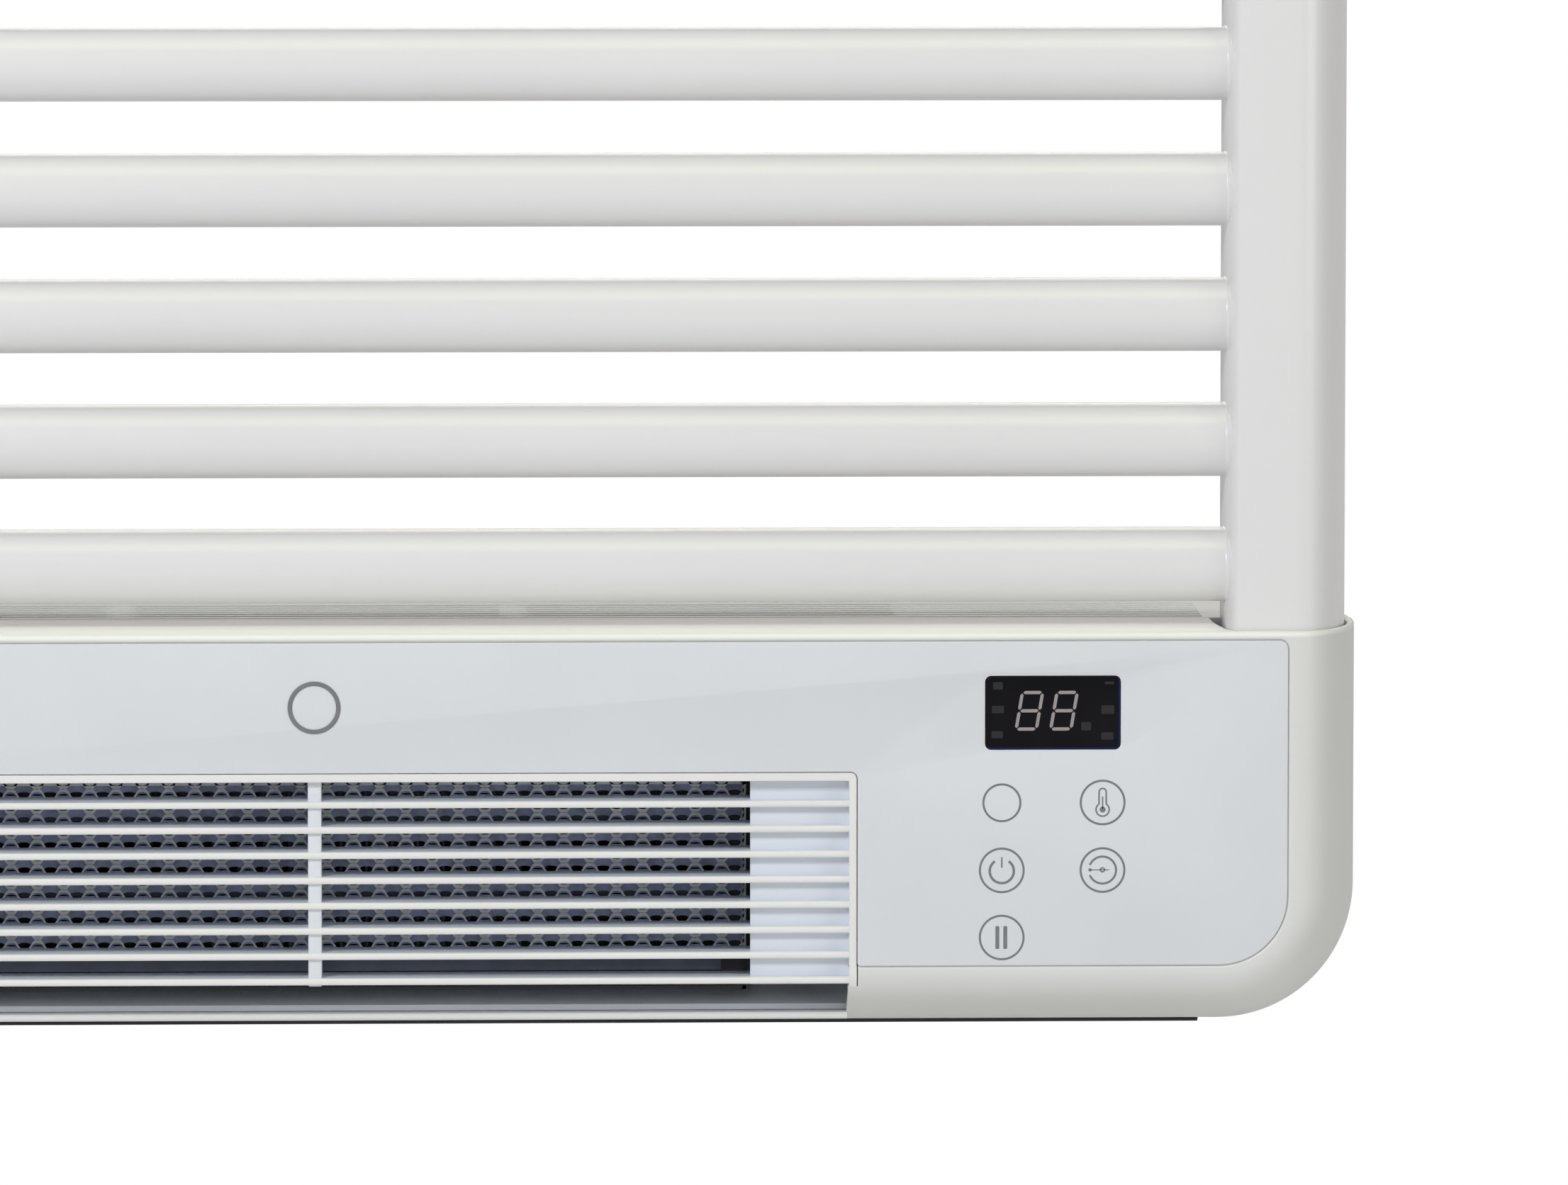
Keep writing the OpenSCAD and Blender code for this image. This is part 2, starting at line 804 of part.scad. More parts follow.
// Shaded-pole motor on the right of the fan
module fan_motor() {
    axis_z = rim_z - rotor_drop;
    difference() {
        union() {
            color("#8f9296")
                block([motor_x + 6, -rotor_y - 20, axis_z - 20], [motor_x + 24, -rotor_y + 20, axis_z + 18]);
            color("#a5602c")
                translate([motor_x + 3, -rotor_y, axis_z - 13])
                    rotate([0, 90, 0])
                        cylinder(r = 9, h = 24);
            color("#c4c7ca") {
                block([motor_x, -rotor_y - 18, axis_z - 4], [motor_x + 6.5, -rotor_y + 18, axis_z + 4]);
                block([motor_x + 23.5, -rotor_y - 18, axis_z - 4], [motor_x + 30, -rotor_y + 18, axis_z + 4]);
            }
        }
        translate([motor_x - 1, -rotor_y, axis_z])
            rotate([0, 90, 0])
                cylinder(r = shaft_r + 0.06, h = motor_l + 4);
    }
}

// Plate between the fan's right end and the motor
module motor_bracket() {
    axis_z = rim_z - rotor_drop;
    color("#b5b8bb")
        difference() {
            union() {
                block([scroll_half + plate_t + 0.2, -rotor_y - 22, axis_z - 24],
                    [motor_x - 0.2, -rotor_y + 22, axis_z + 22]);
                for (side = [-1, 1])
                    block(
                        [scroll_half + plate_t + 0.2, -rotor_y + side * 23 - 1, axis_z - 24],
                        [motor_x + 26, -rotor_y + side * 23 + 1, axis_z - 10]
                    );
            }
            translate([scroll_half, -rotor_y, axis_z])
                rotate([0, 90, 0])
                    cylinder(r = 5, h = 10);
        }
}

// Fan casing: scroll round the rotor, sloping floor out to the lip, tongue and two end plates
module fan_scroll() {
    floor_y = [-rotor_y, front_y + 17.8];
    floor_drop = [rotor_drop + 28, 100.6];
    floor_t = 1.5;
    front = -91.6;
    tongue = [[-69.3, -48.4], [-71.3, -49], [-77, -40.6], [front, -40.6], [front, -38.6], [-76, -38.6]];
    skirt_drop = 94;
    pocket_back = -74;
    pocket_top = rim_z - 60;
    back_drop = 97.2;
    end_plate = [[front, -38.6], [-rotor_y, -31], [-rotor_y, -94.6], [pocket_back, -back_drop],
        [pocket_back - 2, -skirt_drop], [front, -skirt_drop]];
    color("#c6c8c6") {
        along_x(-scroll_half - plate_t, 2 * (scroll_half + plate_t)) {
            difference() {
                translate([-rotor_y, -rotor_drop])
                    circle(r = 30);
                translate([-rotor_y, -rotor_drop])
                    circle(r = 28);
                translate([-rotor_y - 60, -rotor_drop - 40])
                    square([60, 100]);
                translate([-rotor_y - 60, -rotor_drop + 14])
                    square([100, 60]);
            }
            polygon(tongue);
        }
        along_x(-outlet_half_w, 2 * outlet_half_w)
            polygon([
                [floor_y[0] + 1, -floor_drop[0]], [floor_y[0] + 1, -floor_drop[0] - floor_t],
                [floor_y[1], -floor_drop[1] - floor_t], [floor_y[1], -floor_drop[1]]
            ]);
        for (side = [-1, 1])
            difference() {
                union() {
                    along_x(side * (scroll_half + plate_t / 2) - plate_t / 2, plate_t) {
                        polygon(end_plate);
                        translate([-rotor_y, -rotor_drop])
                            circle(r = 30);
                    }
                    // closed pockets between the fan and the outlet's ends
                    mirror([side < 0 ? 1 : 0, 0, 0]) {
                        block([scroll_half + 1, front, rim_z - skirt_drop],
                            [outlet_half_w, front + 1.6, pocket_top]);
                        block([scroll_half + 1, pocket_back, rim_z - back_drop],
                            [outlet_half_w, pocket_back + 1.6, pocket_top]);
                        block([outlet_half_w - 1.4, front, rim_z - 100],
                            [outlet_half_w, pocket_back + 1, pocket_top]);
                    }
                }
                translate([side * (scroll_half + plate_t / 2), -rotor_y, rim_z - rotor_drop])
                    rotate([0, 90, 0])
                        cylinder(r = 6, h = 10, center = true);
            }
    }
}

// Heat limiter standing on the casing's roof
module thermal_cutout() {
    color("#b9a88a")
        translate([60, -84, rim_z - 38.4])
            cylinder(r = 6, h = 4);
    color("#c7c9cb")
        block([50, -87, rim_z - 38.4], [70, -81, rim_z - 37.6]);
}

// Dust filter frame: long cassette whose end closes the slot in the housing's side
module filter_frame() {
    end_points = [for (y = filter_y[0]; y <= filter_y[1]; y = y + 3) [rear_side(y - front_y) - 0.6, y]];
    color("#c2c4c4")
        difference() {
            translate([0, 0, rim_z - filter_drop[0]])
                linear_extrude(filter_drop[0] - filter_drop[1])
                    polygon(concat(end_points, [[filter_left, filter_y[1]], [filter_left, filter_y[0]]]));
            for (i = [-1, 0, 1])
                filter_window(i, 0, rim_z - filter_drop[0] - 1, rim_z);
            block([170, filter_y[0] + filter_rim, rim_z - filter_drop[0] + 1.5],
                [256, filter_y[1] - filter_rim, rim_z]);
        }
}

// One of the three windows in the filter, drawn in by m
module filter_window(i, m, low, high) {
    block([i * 108 - 51.5 + m, filter_y[0] + filter_rim + m, low],
        [i * 108 + 51.5 - m, filter_y[1] - filter_rim - m, high]);
}

module filter_mesh() {
    color("#77797c")
        for (i = [-1, 0, 1])
            filter_window(i, 0.1, rim_z - 7.4, rim_z - 6.8);
}

// Places its children on the rear cover's right side, with X out of the wall
module at_switch() {
    translate([switch_x, switch_y, switch_z])
        rotate([0, 0, switch_turn])
            children();
}

module switch_housing() {
    color("#c9cac8")
        at_switch()
            difference() {
                union() {
                    block([-20, -9.3, -13.3], [1, 9.3, 13.3]);
                    block([0.3, -10.6, -14.6], [1.9, 10.6, 14.6]);
                }
                block([-18, -8.2, -12.3], [3, 8.2, 12.3]);
                translate([rocker_pivot, 0, 0])
                    rotate([90, 0, 0])
                        cylinder(r = 1.46, h = 18, center = true);
            }
}

module switch_rocker() {
    section = [[-4.5, -6], [-4.5, 6], [0, 11.2], [2.4, 10.8], [1, 0], [2.4, -10.8], [0, -11.2]];
    color("#e3e4e2")
        at_switch()
            translate([rocker_pivot, 0, 0])
                rotate([0, switch_tilt, 0]) {
                    translate([0, 7.9, 0])
                        rotate([90, 0, 0])
                            linear_extrude(15.8)
                                polygon(section);
                    rotate([90, 0, 0])
                        cylinder(r = 1.4, h = 17.6, center = true);
                }
}

// Gland for the supply lead, in the back wall
module cable_gland() {
    color("#4b4d50")
        translate([gland_x, back_y + 2.4, gland_z])
            rotate([90, 0, 0])
                difference() {
                    union() {
                        cylinder(r = 11, h = 2.2);
                        cylinder(r = gland_r, h = 15);
                        translate([0, 0, 5])
                            cylinder(r = 11, h = 4, $fn = 6);
                    }
                    translate([0, 0, -1])
                        cylinder(r = gland_bore_r, h = 18);
                }
}

// Screws that hold the two covers together
module cover_screws() {
    color("#8d9094")
        for (side = [-1, 1], drop = post_drop)
            translate([side * post_x, back_y - 4.2, rim_z - drop])
                rotate([90, 0, 0])
                    union() {
                        cylinder(r = 3.2, h = 2.6);
                        cylinder(r = 1.3, h = 20);
                    }
}

for (i = [0 : bar_total - 1])
    bar(i);
for (i = [0 : 3])
    wall_foot(i % 2 == 0 ? -1 : 1, i < 2 ? -1 : 1);
left_collector();
right_collector();
left_top_cap();
right_top_cap();
immersion_heater();
heater_gasket();
blind_plug();
bracket_stems();
foot_set_screws();
front_cover();
rear_cover();
fascia_panel();
badge_ring();
display_window();
display_module();
touch_foil();
control_board();
power_board();
board_spacers();
terminal_block();
outlet_grille();
heater_guard();
heater_frame();
heater_element();
fan_rotor();
fan_shaft();
fan_bush();
fan_motor();
motor_bracket();
fan_scroll();
thermal_cutout();
filter_frame();
filter_mesh();
switch_housing();
switch_rocker();
cable_gland();
cover_screws();
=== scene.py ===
"""Electric towel radiator with a fan-heater housing: its looks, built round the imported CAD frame."""

import math

import bmesh
import bpy
from mathutils import Matrix, Vector


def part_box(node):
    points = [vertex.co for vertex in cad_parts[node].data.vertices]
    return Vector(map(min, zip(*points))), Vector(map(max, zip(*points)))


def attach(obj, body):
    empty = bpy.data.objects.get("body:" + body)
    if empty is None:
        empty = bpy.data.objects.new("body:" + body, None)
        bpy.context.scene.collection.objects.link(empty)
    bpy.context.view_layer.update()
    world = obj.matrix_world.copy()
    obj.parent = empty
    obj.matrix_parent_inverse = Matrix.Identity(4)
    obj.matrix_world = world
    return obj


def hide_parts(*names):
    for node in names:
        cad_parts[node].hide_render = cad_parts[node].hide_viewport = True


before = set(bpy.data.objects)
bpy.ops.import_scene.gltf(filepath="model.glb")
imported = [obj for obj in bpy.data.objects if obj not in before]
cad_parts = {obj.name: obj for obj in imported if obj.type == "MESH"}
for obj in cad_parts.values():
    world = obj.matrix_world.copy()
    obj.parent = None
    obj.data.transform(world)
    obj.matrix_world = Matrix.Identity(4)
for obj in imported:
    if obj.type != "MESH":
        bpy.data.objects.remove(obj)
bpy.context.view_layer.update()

MM = 0.001


def box_mm(node):
    """Lowest and highest corner of a CAD node in millimetres."""
    low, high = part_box(node)
    return [c / MM for c in low], [c / MM for c in high]


# ------------------------------------------------------------------ sizes, in millimetres

cover_low, cover_high = box_mm("front_cover")
rear_high = box_mm("rear_cover")[1]
post_low, post_high = box_mm("right_collector")
fascia_low, fascia_high = box_mm("fascia_panel")
window_low, window_high = box_mm("display_window")
grille_low, grille_high = box_mm("outlet_grille")

RIM = cover_high[2]  # top of the housing
FRONT = cover_low[1]  # the fascia's face
HALF_W = cover_high[0]
HOUSING_H = RIM - cover_low[2] - 0.5  # the painted-shadow bead under the cover stands 0.5 mm proud
COVER_D = 44.0  # the front cover's depth, up to the seam
BACK = rear_high[1]
FACE_HALF_W, FACE_BOTTOM, FACE_R = fascia_high[0] + 1.2, RIM - fascia_low[2] + 1.2, 19.6
CORNER_R = 37.0  # the housing's lower corners
REAR_HALF_W, REAR_H, REAR_R = 262, 95, 30  # the rear cover draws in to this at the back
WALL = 2.2  # thickness of the shells
FASCIA_LOW_R, FASCIA_HIGH_R = 18.4, 2.3  # the fascia's lower and upper corners
OUTLET_HALF_W = grille_high[0]
OUTLET_DROP = RIM - grille_high[2]
LEGS_DROP = RIM - grille_low[2]
LIP_DROP = 102.3  # upper side of the outlet's lower lip, below the rim


# ------------------------------------------------------------------ shapes: lists of points and faces


def arc(cx, cy, ax, ay, start, sweep, steps):
    """Points on an ellipse round (cx, cy), from start through sweep degrees."""
    return [
        (
            cx + ax * math.cos(math.radians(start + sweep * i / steps)),
            cy + ay * math.sin(math.radians(start + sweep * i / steps)),
        )
        for i in range(steps + 1)
    ]


def round_rect(half_w, half_h, r, steps=6):
    """Outline of a rectangle with round corners about the origin."""
    outline = []
    for i, (sx, sy) in enumerate([(1, 1), (-1, 1), (-1, -1), (1, -1)]):
        outline += arc(sx * (half_w - r), sy * (half_h - r), r, r, 90 * i, 90, steps)
    return outline


def loft(rings, looped=False):
    """Skin through rings of equally many points, closed by caps or, if looped, onto the first ring."""
    n = len(rings[0])
    points = [tuple(p) for ring in rings for p in ring]
    faces = []
    for j in range(len(rings) if looped else len(rings) - 1):
        k = (j + 1) % len(rings)
        for i in range(n):
            m = (i + 1) % n
            faces.append((j * n + i, j * n + m, k * n + m, k * n + i))
    if not looped:
        faces.append(tuple(range(n)))
        faces.append(tuple((len(rings) - 1) * n + i for i in range(n)))
    return points, faces


def merged(*shapes):
    """Several shapes as one."""
    points, faces = [], []
    for more_points, more_faces in shapes:
        base = len(points)
        points += more_points
        faces += [tuple(base + i for i in f) for f in more_faces]
    return points, faces


def moved(shape, place=(0, 0, 0), turn=None):
    """The shape turned by a matrix and then shifted."""
    points, faces = shape
    if turn is not None:
        points = [tuple(turn @ Vector(p)) for p in points]
    return [(x + place[0], y + place[1], z + place[2]) for x, y, z in points], faces


def mirrored(shape):
    """The shape's twin on the other side of the middle."""
    points, faces = shape
    return [(-x, y, z) for x, y, z in points], faces


def both_sides(shape):
    return merged(shape, mirrored(shape))


def prism(outline, low, high, soft=0.0):
    """Outline in XY from low to high along Z; soft rounds both rims by that radius."""
    return loft([[(x, y, z) for x, y in ring] for z, ring in soft_levels(outline, low, high, soft, 3)])


def plate(outline, front, back, soft=0.0, steps=3):
    """Outline in XZ from front to back along Y; soft rounds both rims."""
    return loft([[(x, y, z) for x, z in ring] for y, ring in soft_levels(outline, front, back, soft, steps)])


def rod(outline, low, high, soft=0.0, steps=3):
    """Outline in YZ from low to high along X; soft rounds both rims."""
    return loft([[(x, y, z) for y, z in ring] for x, ring in soft_levels(outline, low, high, soft, steps)])


def soft_levels(outline, low, high, soft, steps):
    """(level, outline) pairs whose first and last few draw in on a quarter circle."""
    if soft <= 0:
        return [(low, outline), (high, outline)]
    start = []
    for i in range(steps, -1, -1):
        a = math.radians(90 * i / steps)
        start.append((low + soft * (1 - math.sin(a)), inset(outline, soft * (1 - math.cos(a)))))
    return start + [(low + high - level, ring) for level, ring in reversed(start)]


def inset(outline, by):
    """The outline with each point moved inwards by that distance, along its corner's bisector."""
    if by == 0:
        return outline
    area = sum(a[0] * b[1] - b[0] * a[1] for a, b in zip(outline, outline[1:] + outline[:1]))
    side = 1 if area > 0 else -1
    result = []
    for i, (x, y) in enumerate(outline):
        before = edge_normal(outline, i, -1, side)
        after = edge_normal(outline, i, 1, side)
        bx, by_ = before[0] + after[0], before[1] + after[1]
        scale = max(bx * before[0] + by_ * before[1], 0.35)
        result.append((x + by * bx / scale, y + by * by_ / scale))
    return result


def edge_normal(outline, i, step, side):
    """Inward normal of the first real edge before or after point i."""
    n = len(outline)
    x, y = outline[i]
    j = (i + step) % n
    while math.hypot(outline[j][0] - x, outline[j][1] - y) < 1e-6:
        j = (j + step) % n
    dx, dy = (outline[j][0] - x) * step, (outline[j][1] - y) * step
    length = math.hypot(dx, dy)
    return (-dy * side / length, dx * side / length)


def block(low, high, soft=0.0):
    """Box from corner to corner, with round upright edges and rims if soft."""
    outline = [(low[0], low[1]), (high[0], low[1]), (high[0], high[1]), (low[0], high[1])]
    if soft > 0:
        cx, cy = (low[0] + high[0]) / 2, (low[1] + high[1]) / 2
        outline = [
            (cx + x, cy + y) for x, y in round_rect((high[0] - low[0]) / 2, (high[1] - low[1]) / 2, soft, 3)
        ]
    return prism(outline, low[2], high[2], soft)


def turned(profile, steps=48):
    """Solid of revolution about Z from (radius, height) pairs that run from axis to axis."""
    rings = []
    for i in range(steps):
        a = 2 * math.pi * i / steps
        rings.append([(r * math.cos(a), r * math.sin(a), h) for r, h in profile])
    return loft(rings, looped=True)


def soft_profile(profile, radius, steps=3):
    """A (radius, height) profile with its corners rounded, apart from those on the axis."""
    result = []
    n = len(profile)
    for i, (r, h) in enumerate(profile):
        if r < 1e-6:
            result.append((r, h))
            continue
        a, b = Vector(profile[(i - 1) % n]), Vector(profile[(i + 1) % n])
        p = Vector((r, h))
        cut = min(radius, (a - p).length * 0.45, (b - p).length * 0.45)
        start, end = p + (a - p).normalized() * cut, p + (b - p).normalized() * cut
        for k in range(steps + 1):
            t = k / steps
            q = start * (1 - t) ** 2 + p * 2 * t * (1 - t) + end * t**2
            result.append((q.x, q.y))
    return result


def ribbon(line, width, depth, closed, face):
    """A flat stroke of that width along a line in XZ, from y = face - depth to y = face."""
    n = len(line)
    left, right = [], []
    for i, (x, z) in enumerate(line):
        a = line[(i - 1) % n] if closed or i > 0 else line[i]
        b = line[(i + 1) % n] if closed or i < n - 1 else line[i]
        dx, dz = b[0] - a[0], b[1] - a[1]
        length = math.hypot(dx, dz)
        nx, nz = -dz / length * width / 2, dx / length * width / 2
        left.append((x + nx, z + nz))
        right.append((x - nx, z - nz))
    rings = [
        [(l[0], face - depth, l[1]), (r[0], face - depth, r[1]), (r[0], face, r[1]), (l[0], face, l[1])]
        for l, r in zip(left, right)
    ]
    return loft(rings, looped=closed)


def circle_line(cx, cz, r, start=0, sweep=360, steps=64):
    line = arc(cx, cz, r, r, start, sweep, steps)
    return line[:-1] if sweep == 360 else line


# ------------------------------------------------------------------ from shapes to pieces


def to_mesh(name, shape):
    """Blender mesh of a shape, still in millimetres, with all faces turned outwards."""
    mesh = bpy.data.meshes.new(name)
    mesh.from_pydata(shape[0], [], shape[1])
    bm = bmesh.new()
    bm.from_mesh(mesh)
    bmesh.ops.remove_doubles(bm, verts=bm.verts, dist=1e-5)
    bmesh.ops.dissolve_degenerate(bm, edges=bm.edges, dist=1e-6)
    bmesh.ops.recalc_face_normals(bm, faces=bm.faces)
    bm.to_mesh(mesh)
    bm.free()
    return mesh


def baked(obj):
    """Applies an object's modifiers to its mesh."""
    bpy.context.view_layer.update()
    mesh = bpy.data.meshes.new_from_object(obj.evaluated_get(bpy.context.evaluated_depsgraph_get()))
    old = obj.data
    obj.modifiers.clear()
    obj.data = mesh
    bpy.data.meshes.remove(old)


def carved(base, *steps):
    """Temporary object of the base shape after a series of ("-" or "+", shape) steps."""
    obj = bpy.data.objects.new("work", to_mesh("work", base))
    bpy.context.scene.collection.objects.link(obj)
    for sign, shape in steps:
        tool = bpy.data.objects.new("tool", to_mesh("tool", shape))
        bpy.context.scene.collection.objects.link(tool)
        modifier = obj.modifiers.new("cut", "BOOLEAN")
        modifier.object = tool
        modifier.operation = "DIFFERENCE" if sign == "-" else "UNION"
        modifier.solver = "EXACT"
        baked(obj)
        bpy.data.meshes.remove(tool.data)
    return obj


def piece(name, source, material, replaces=(), crease=32):
    """Finishes a shape or a carved object as a visible piece that rides on the radiator.

    crease is the angle in degrees from which an edge stays sharp in shading.
    """
    if isinstance(source, tuple):
        obj = bpy.data.objects.new(name, to_mesh(name, source))
        bpy.context.scene.collection.objects.link(obj)
    else:
        obj = source
    obj.name = name
    obj.data.name = name
    obj.data.transform(Matrix.Scale(MM, 4))
    obj.data.materials.clear()
    obj.data.materials.append(material)
    obj.data.polygons.foreach_set("use_smooth", [True] * len(obj.data.polygons))
    obj.data.set_sharp_from_angle(angle=math.radians(crease))
    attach(obj, "radiator")
    if replaces:
        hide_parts(*replaces)


# ------------------------------------------------------------------ materials


def linear(r, g, b):
    """sRGB 0 to 255 as linear colour."""
    return [((c / 255 + 0.055) / 1.055) ** 2.4 if c > 10 else c / 255 / 12.92 for c in (r, g, b)] + [1.0]


class Finish:
    """A node material on a Principled shader, in object coordinates in metres."""

    def __init__(self, name, rough, metallic=0.0, coat=0.0, coat_rough=0.1):
        self.material = bpy.data.materials.new(name)
        self.material.use_nodes = True
        self.tree = self.material.node_tree
        self.shader = self.tree.nodes["Principled BSDF"]
        self.set(self.shader, Roughness=rough, Metallic=metallic)
        self.set(self.shader, **{"Coat Weight": coat, "Coat Roughness": coat_rough})
        self.coords = self.tree.nodes.new("ShaderNodeTexCoord").outputs["Object"]
        self.rough = rough

    def set(self, node, **values):
        for key, value in values.items():
            node.inputs[key].default_value = value

    def add(self, kind, links=(), **values):
        """A node with its inputs set and linked: links are (input name, socket) pairs."""
        node = self.tree.nodes.new(kind)
        self.set(node, **values)
        for name, socket in links:
            self.tree.links.new(socket, node.inputs[name])
        return node

    def noise(self, scale, detail=3.0, stretch=None):
        """Noise of that many waves a metre; stretch scales the coordinates first."""
        coords = self.coords
        if stretch:
            mapping = self.add("ShaderNodeMapping", [("Vector", coords)], Scale=stretch)
            coords = mapping.outputs[0]
        return self.add("ShaderNodeTexNoise", [("Vector", coords)], Scale=scale, Detail=detail).outputs["Fac"]

    def ramp(self, fac, low, high):
        """Maps 0.3..0.7 of a noise to low..high."""
        node = self.add("ShaderNodeMapRange", [("Value", fac)])
        self.set(node, **{"From Min": 0.3, "From Max": 0.7, "To Min": low, "To Max": high})
        return node.outputs[0]

    def zone(self, axis, start, end):
        """Goes from 0 to 1 as an object coordinate runs from start to end, in millimetres."""
        split = self.add("ShaderNodeSeparateXYZ", [("Vector", self.coords)])
        node = self.add("ShaderNodeMapRange", [("Value", split.outputs[axis])])
        self.set(node, **{"From Min": start * MM, "From Max": end * MM})
        return node.outputs[0]

    def blend(self, fac, first, second):
        """Colour that goes from first to second as fac goes from 0 to 1."""
        node = self.tree.nodes.new("ShaderNodeMix")
        node.data_type = "RGBA"
        colours = [s for s in node.inputs if s.type == "RGBA"]
        for socket, colour in zip(colours, (first, second)):
            if isinstance(colour, (list, tuple)):
                socket.default_value = colour
            else:
                self.tree.links.new(colour, socket)
        self.tree.links.new(fac, node.inputs[0])
        return next(s for s in node.outputs if s.type == "RGBA")

    def colour(self, socket):
        self.tree.links.new(socket, self.shader.inputs["Base Color"])

    def gloss(self, socket):
        self.tree.links.new(socket, self.shader.inputs["Roughness"])

    def relief(self, height, depth_mm):
        bump = self.add("ShaderNodeBump", [("Height", height)], Strength=1.0, Distance=depth_mm * MM)
        self.tree.links.new(bump.outputs[0], self.shader.inputs["Normal"])


def painted(name, colour, rough, spread=0.02, cloud=12, grain=700, depth=0.004, zone=None, **shader):
    """Paint or moulded plastic: faint clouds of colour, uneven gloss and a fine grain.

    zone is (axis, start, end, colour): the colour that takes over from start to end.
    """
    finish = Finish(name, rough, **shader)
    base = linear(*colour)
    dark = [c * (1 - spread) for c in base[:3]] + [1]
    light = [min(c * (1 + spread), 1) for c in base[:3]] + [1]
    surface = finish.blend(finish.ramp(finish.noise(cloud, 4), 0, 1), dark, light)
    if zone:
        surface = finish.blend(finish.zone(*zone[:3]), surface, linear(*zone[3]))
    finish.colour(surface)
    grains = finish.noise(grain, 4)
    finish.gloss(finish.ramp(grains, rough * 0.86, min(rough * 1.14, 1)))
    finish.relief(grains, depth)
    return finish.material


def metal(name, colour, rough, brushed):
    """Bare metal, brushed along the axis whose stretch is small."""
    finish = Finish(name, rough, metallic=1.0)
    base, spread = linear(*colour), 0.08
    dark = [c * (1 - spread) for c in base[:3]] + [1]
    light = [min(c * (1 + spread), 1) for c in base[:3]] + [1]
    streaks = finish.noise(600, 3, brushed)
    finish.colour(finish.blend(finish.ramp(finish.noise(40, 3), 0, 1), dark, light))
    finish.gloss(finish.ramp(streaks, rough * 0.75, min(rough * 1.35, 1)))
    finish.relief(streaks, 0.006)
    return finish.material


def circuit_board():
    """Green solder mask over a faint pattern of copper tracks."""
    finish = Finish("green_board", 0.32, coat=0.4)
    tracks = finish.add("ShaderNodeTexBrick", [("Vector", finish.coords)], Scale=160.0)
    finish.set(tracks, **{"Mortar Size": 0.06, "Brick Width": 0.9, "Row Height": 0.35})
    tracks.inputs["Color1"].default_value = linear(26, 92, 48)
    tracks.inputs["Color2"].default_value = linear(32, 104, 55)
    tracks.inputs["Mortar"].default_value = linear(52, 128, 70)
    finish.colour(tracks.outputs["Color"])
    finish.relief(tracks.outputs["Fac"], 0.03)
    return finish.material


def smoked_lens():
    """Near-black acrylic whose right and lower rims catch a little blue, painted in as blue light."""
    finish = Finish("dark_window", 0.2)
    finish.set(finish.shader, **{"Specular IOR Level": 0.12})
    clouds = finish.ramp(finish.noise(45, 3), 0, 1)
    body = finish.blend(clouds, linear(15, 14, 17), linear(22, 21, 26))
    # painted light: the right and lower rims turn blue
    right_rim_light = finish.zone(0, window_high[0] - 0.6, window_high[0] - 0.2)
    low_rim_light = finish.zone(2, window_low[2] + 0.6, window_low[2] + 0.2)
    body = finish.blend(right_rim_light, body, linear(14, 38, 92))
    finish.colour(finish.blend(low_rim_light, body, linear(14, 40, 96)))
    finish.gloss(finish.ramp(finish.noise(420, 3), 0.16, 0.24))
    return finish.material


ENAMEL_COAT = {"coat": 0.35, "coat_rough": 0.16}
WHITE = painted(
    "white_enamel", (236, 234, 235), 0.34, spread=0.012, cloud=9, grain=260, depth=0.006, **ENAMEL_COAT
)
TOP_HIGHLIGHT = (2, RIM - 1.5, RIM - 0.7, (253, 253, 248))  # painted highlight: the housing's top is lighter, standing in for the light it catches
COVER = painted(
    "cover_plastic", (232, 231, 229), 0.42, spread=0.014, cloud=14, grain=1500, depth=0.003, zone=TOP_HIGHLIGHT
)
FASCIA = painted("fascia_plastic", (229, 230, 234), 0.56, spread=0.016, cloud=26, grain=1300, depth=0.0025)
RECESS_BLUE_SHADE = (1, FRONT + 1.9, FRONT + 3.4, (232, 236, 243))  # painted shade: the grille is a cooler white further in, standing in for the bluish light in its recesses
GRILLE = painted(
    "grille_plastic", (243, 242, 240), 0.4, spread=0.015, cloud=30, grain=1500, depth=0.003, zone=RECESS_BLUE_SHADE
)
DUCT = painted("duct_plastic", (240, 243, 249), 0.5, spread=0.03, cloud=20, grain=1200, depth=0.006)
FOOT = painted("foot_plastic", (232, 233, 230), 0.4, spread=0.02, cloud=30, grain=1400, depth=0.004)
FILTER = painted("filter_plastic", (214, 216, 214), 0.46, spread=0.02, cloud=30, grain=1300, depth=0.005)
ROCKER = painted("rocker_plastic", (230, 231, 228), 0.3, spread=0.02, cloud=40, grain=1600, depth=0.002)
NET = painted("filter_net", (126, 129, 133), 0.62, spread=0.1, cloud=160, grain=2600, depth=0.02)
PRINT = painted("grey_print", (126, 127, 130), 0.5, spread=0.05, cloud=300, grain=3000, depth=0.001)
DARK = painted("dark_plastic", (44, 46, 51), 0.45, spread=0.08, cloud=40, grain=1300, depth=0.008)
HEATER = painted("heater_metal", (92, 97, 114), 0.5, spread=0.2, cloud=90, grain=900, depth=0.02)
INNER_GUARD = painted("inner_guard", (158, 167, 194), 0.5, spread=0.25, cloud=260, grain=900, depth=0.02)
GUARD_FOOT = (2, RIM - 87, RIM - 88.5, (34, 36, 42))  # the guard's foot is dark
GUARD = painted(
    "guard_wire", (240, 243, 250), 0.4, spread=0.14, cloud=160, grain=1500, depth=0.015, zone=GUARD_FOOT
)
RUBBER = painted("black_rubber", (26, 26, 28), 0.66, spread=0.12, cloud=80, grain=1800, depth=0.012)
NYLON = painted("nylon", (216, 210, 190), 0.5, spread=0.03, cloud=60, grain=1500, depth=0.006)
COPPER = painted(
    "copper_foil", (176, 120, 72), 0.35, spread=0.08, cloud=90, grain=1500, depth=0.004, metallic=0.9
)
ZINC = metal("zinc_steel", (176, 179, 184), 0.34, brushed=(1, 1, 0.08))
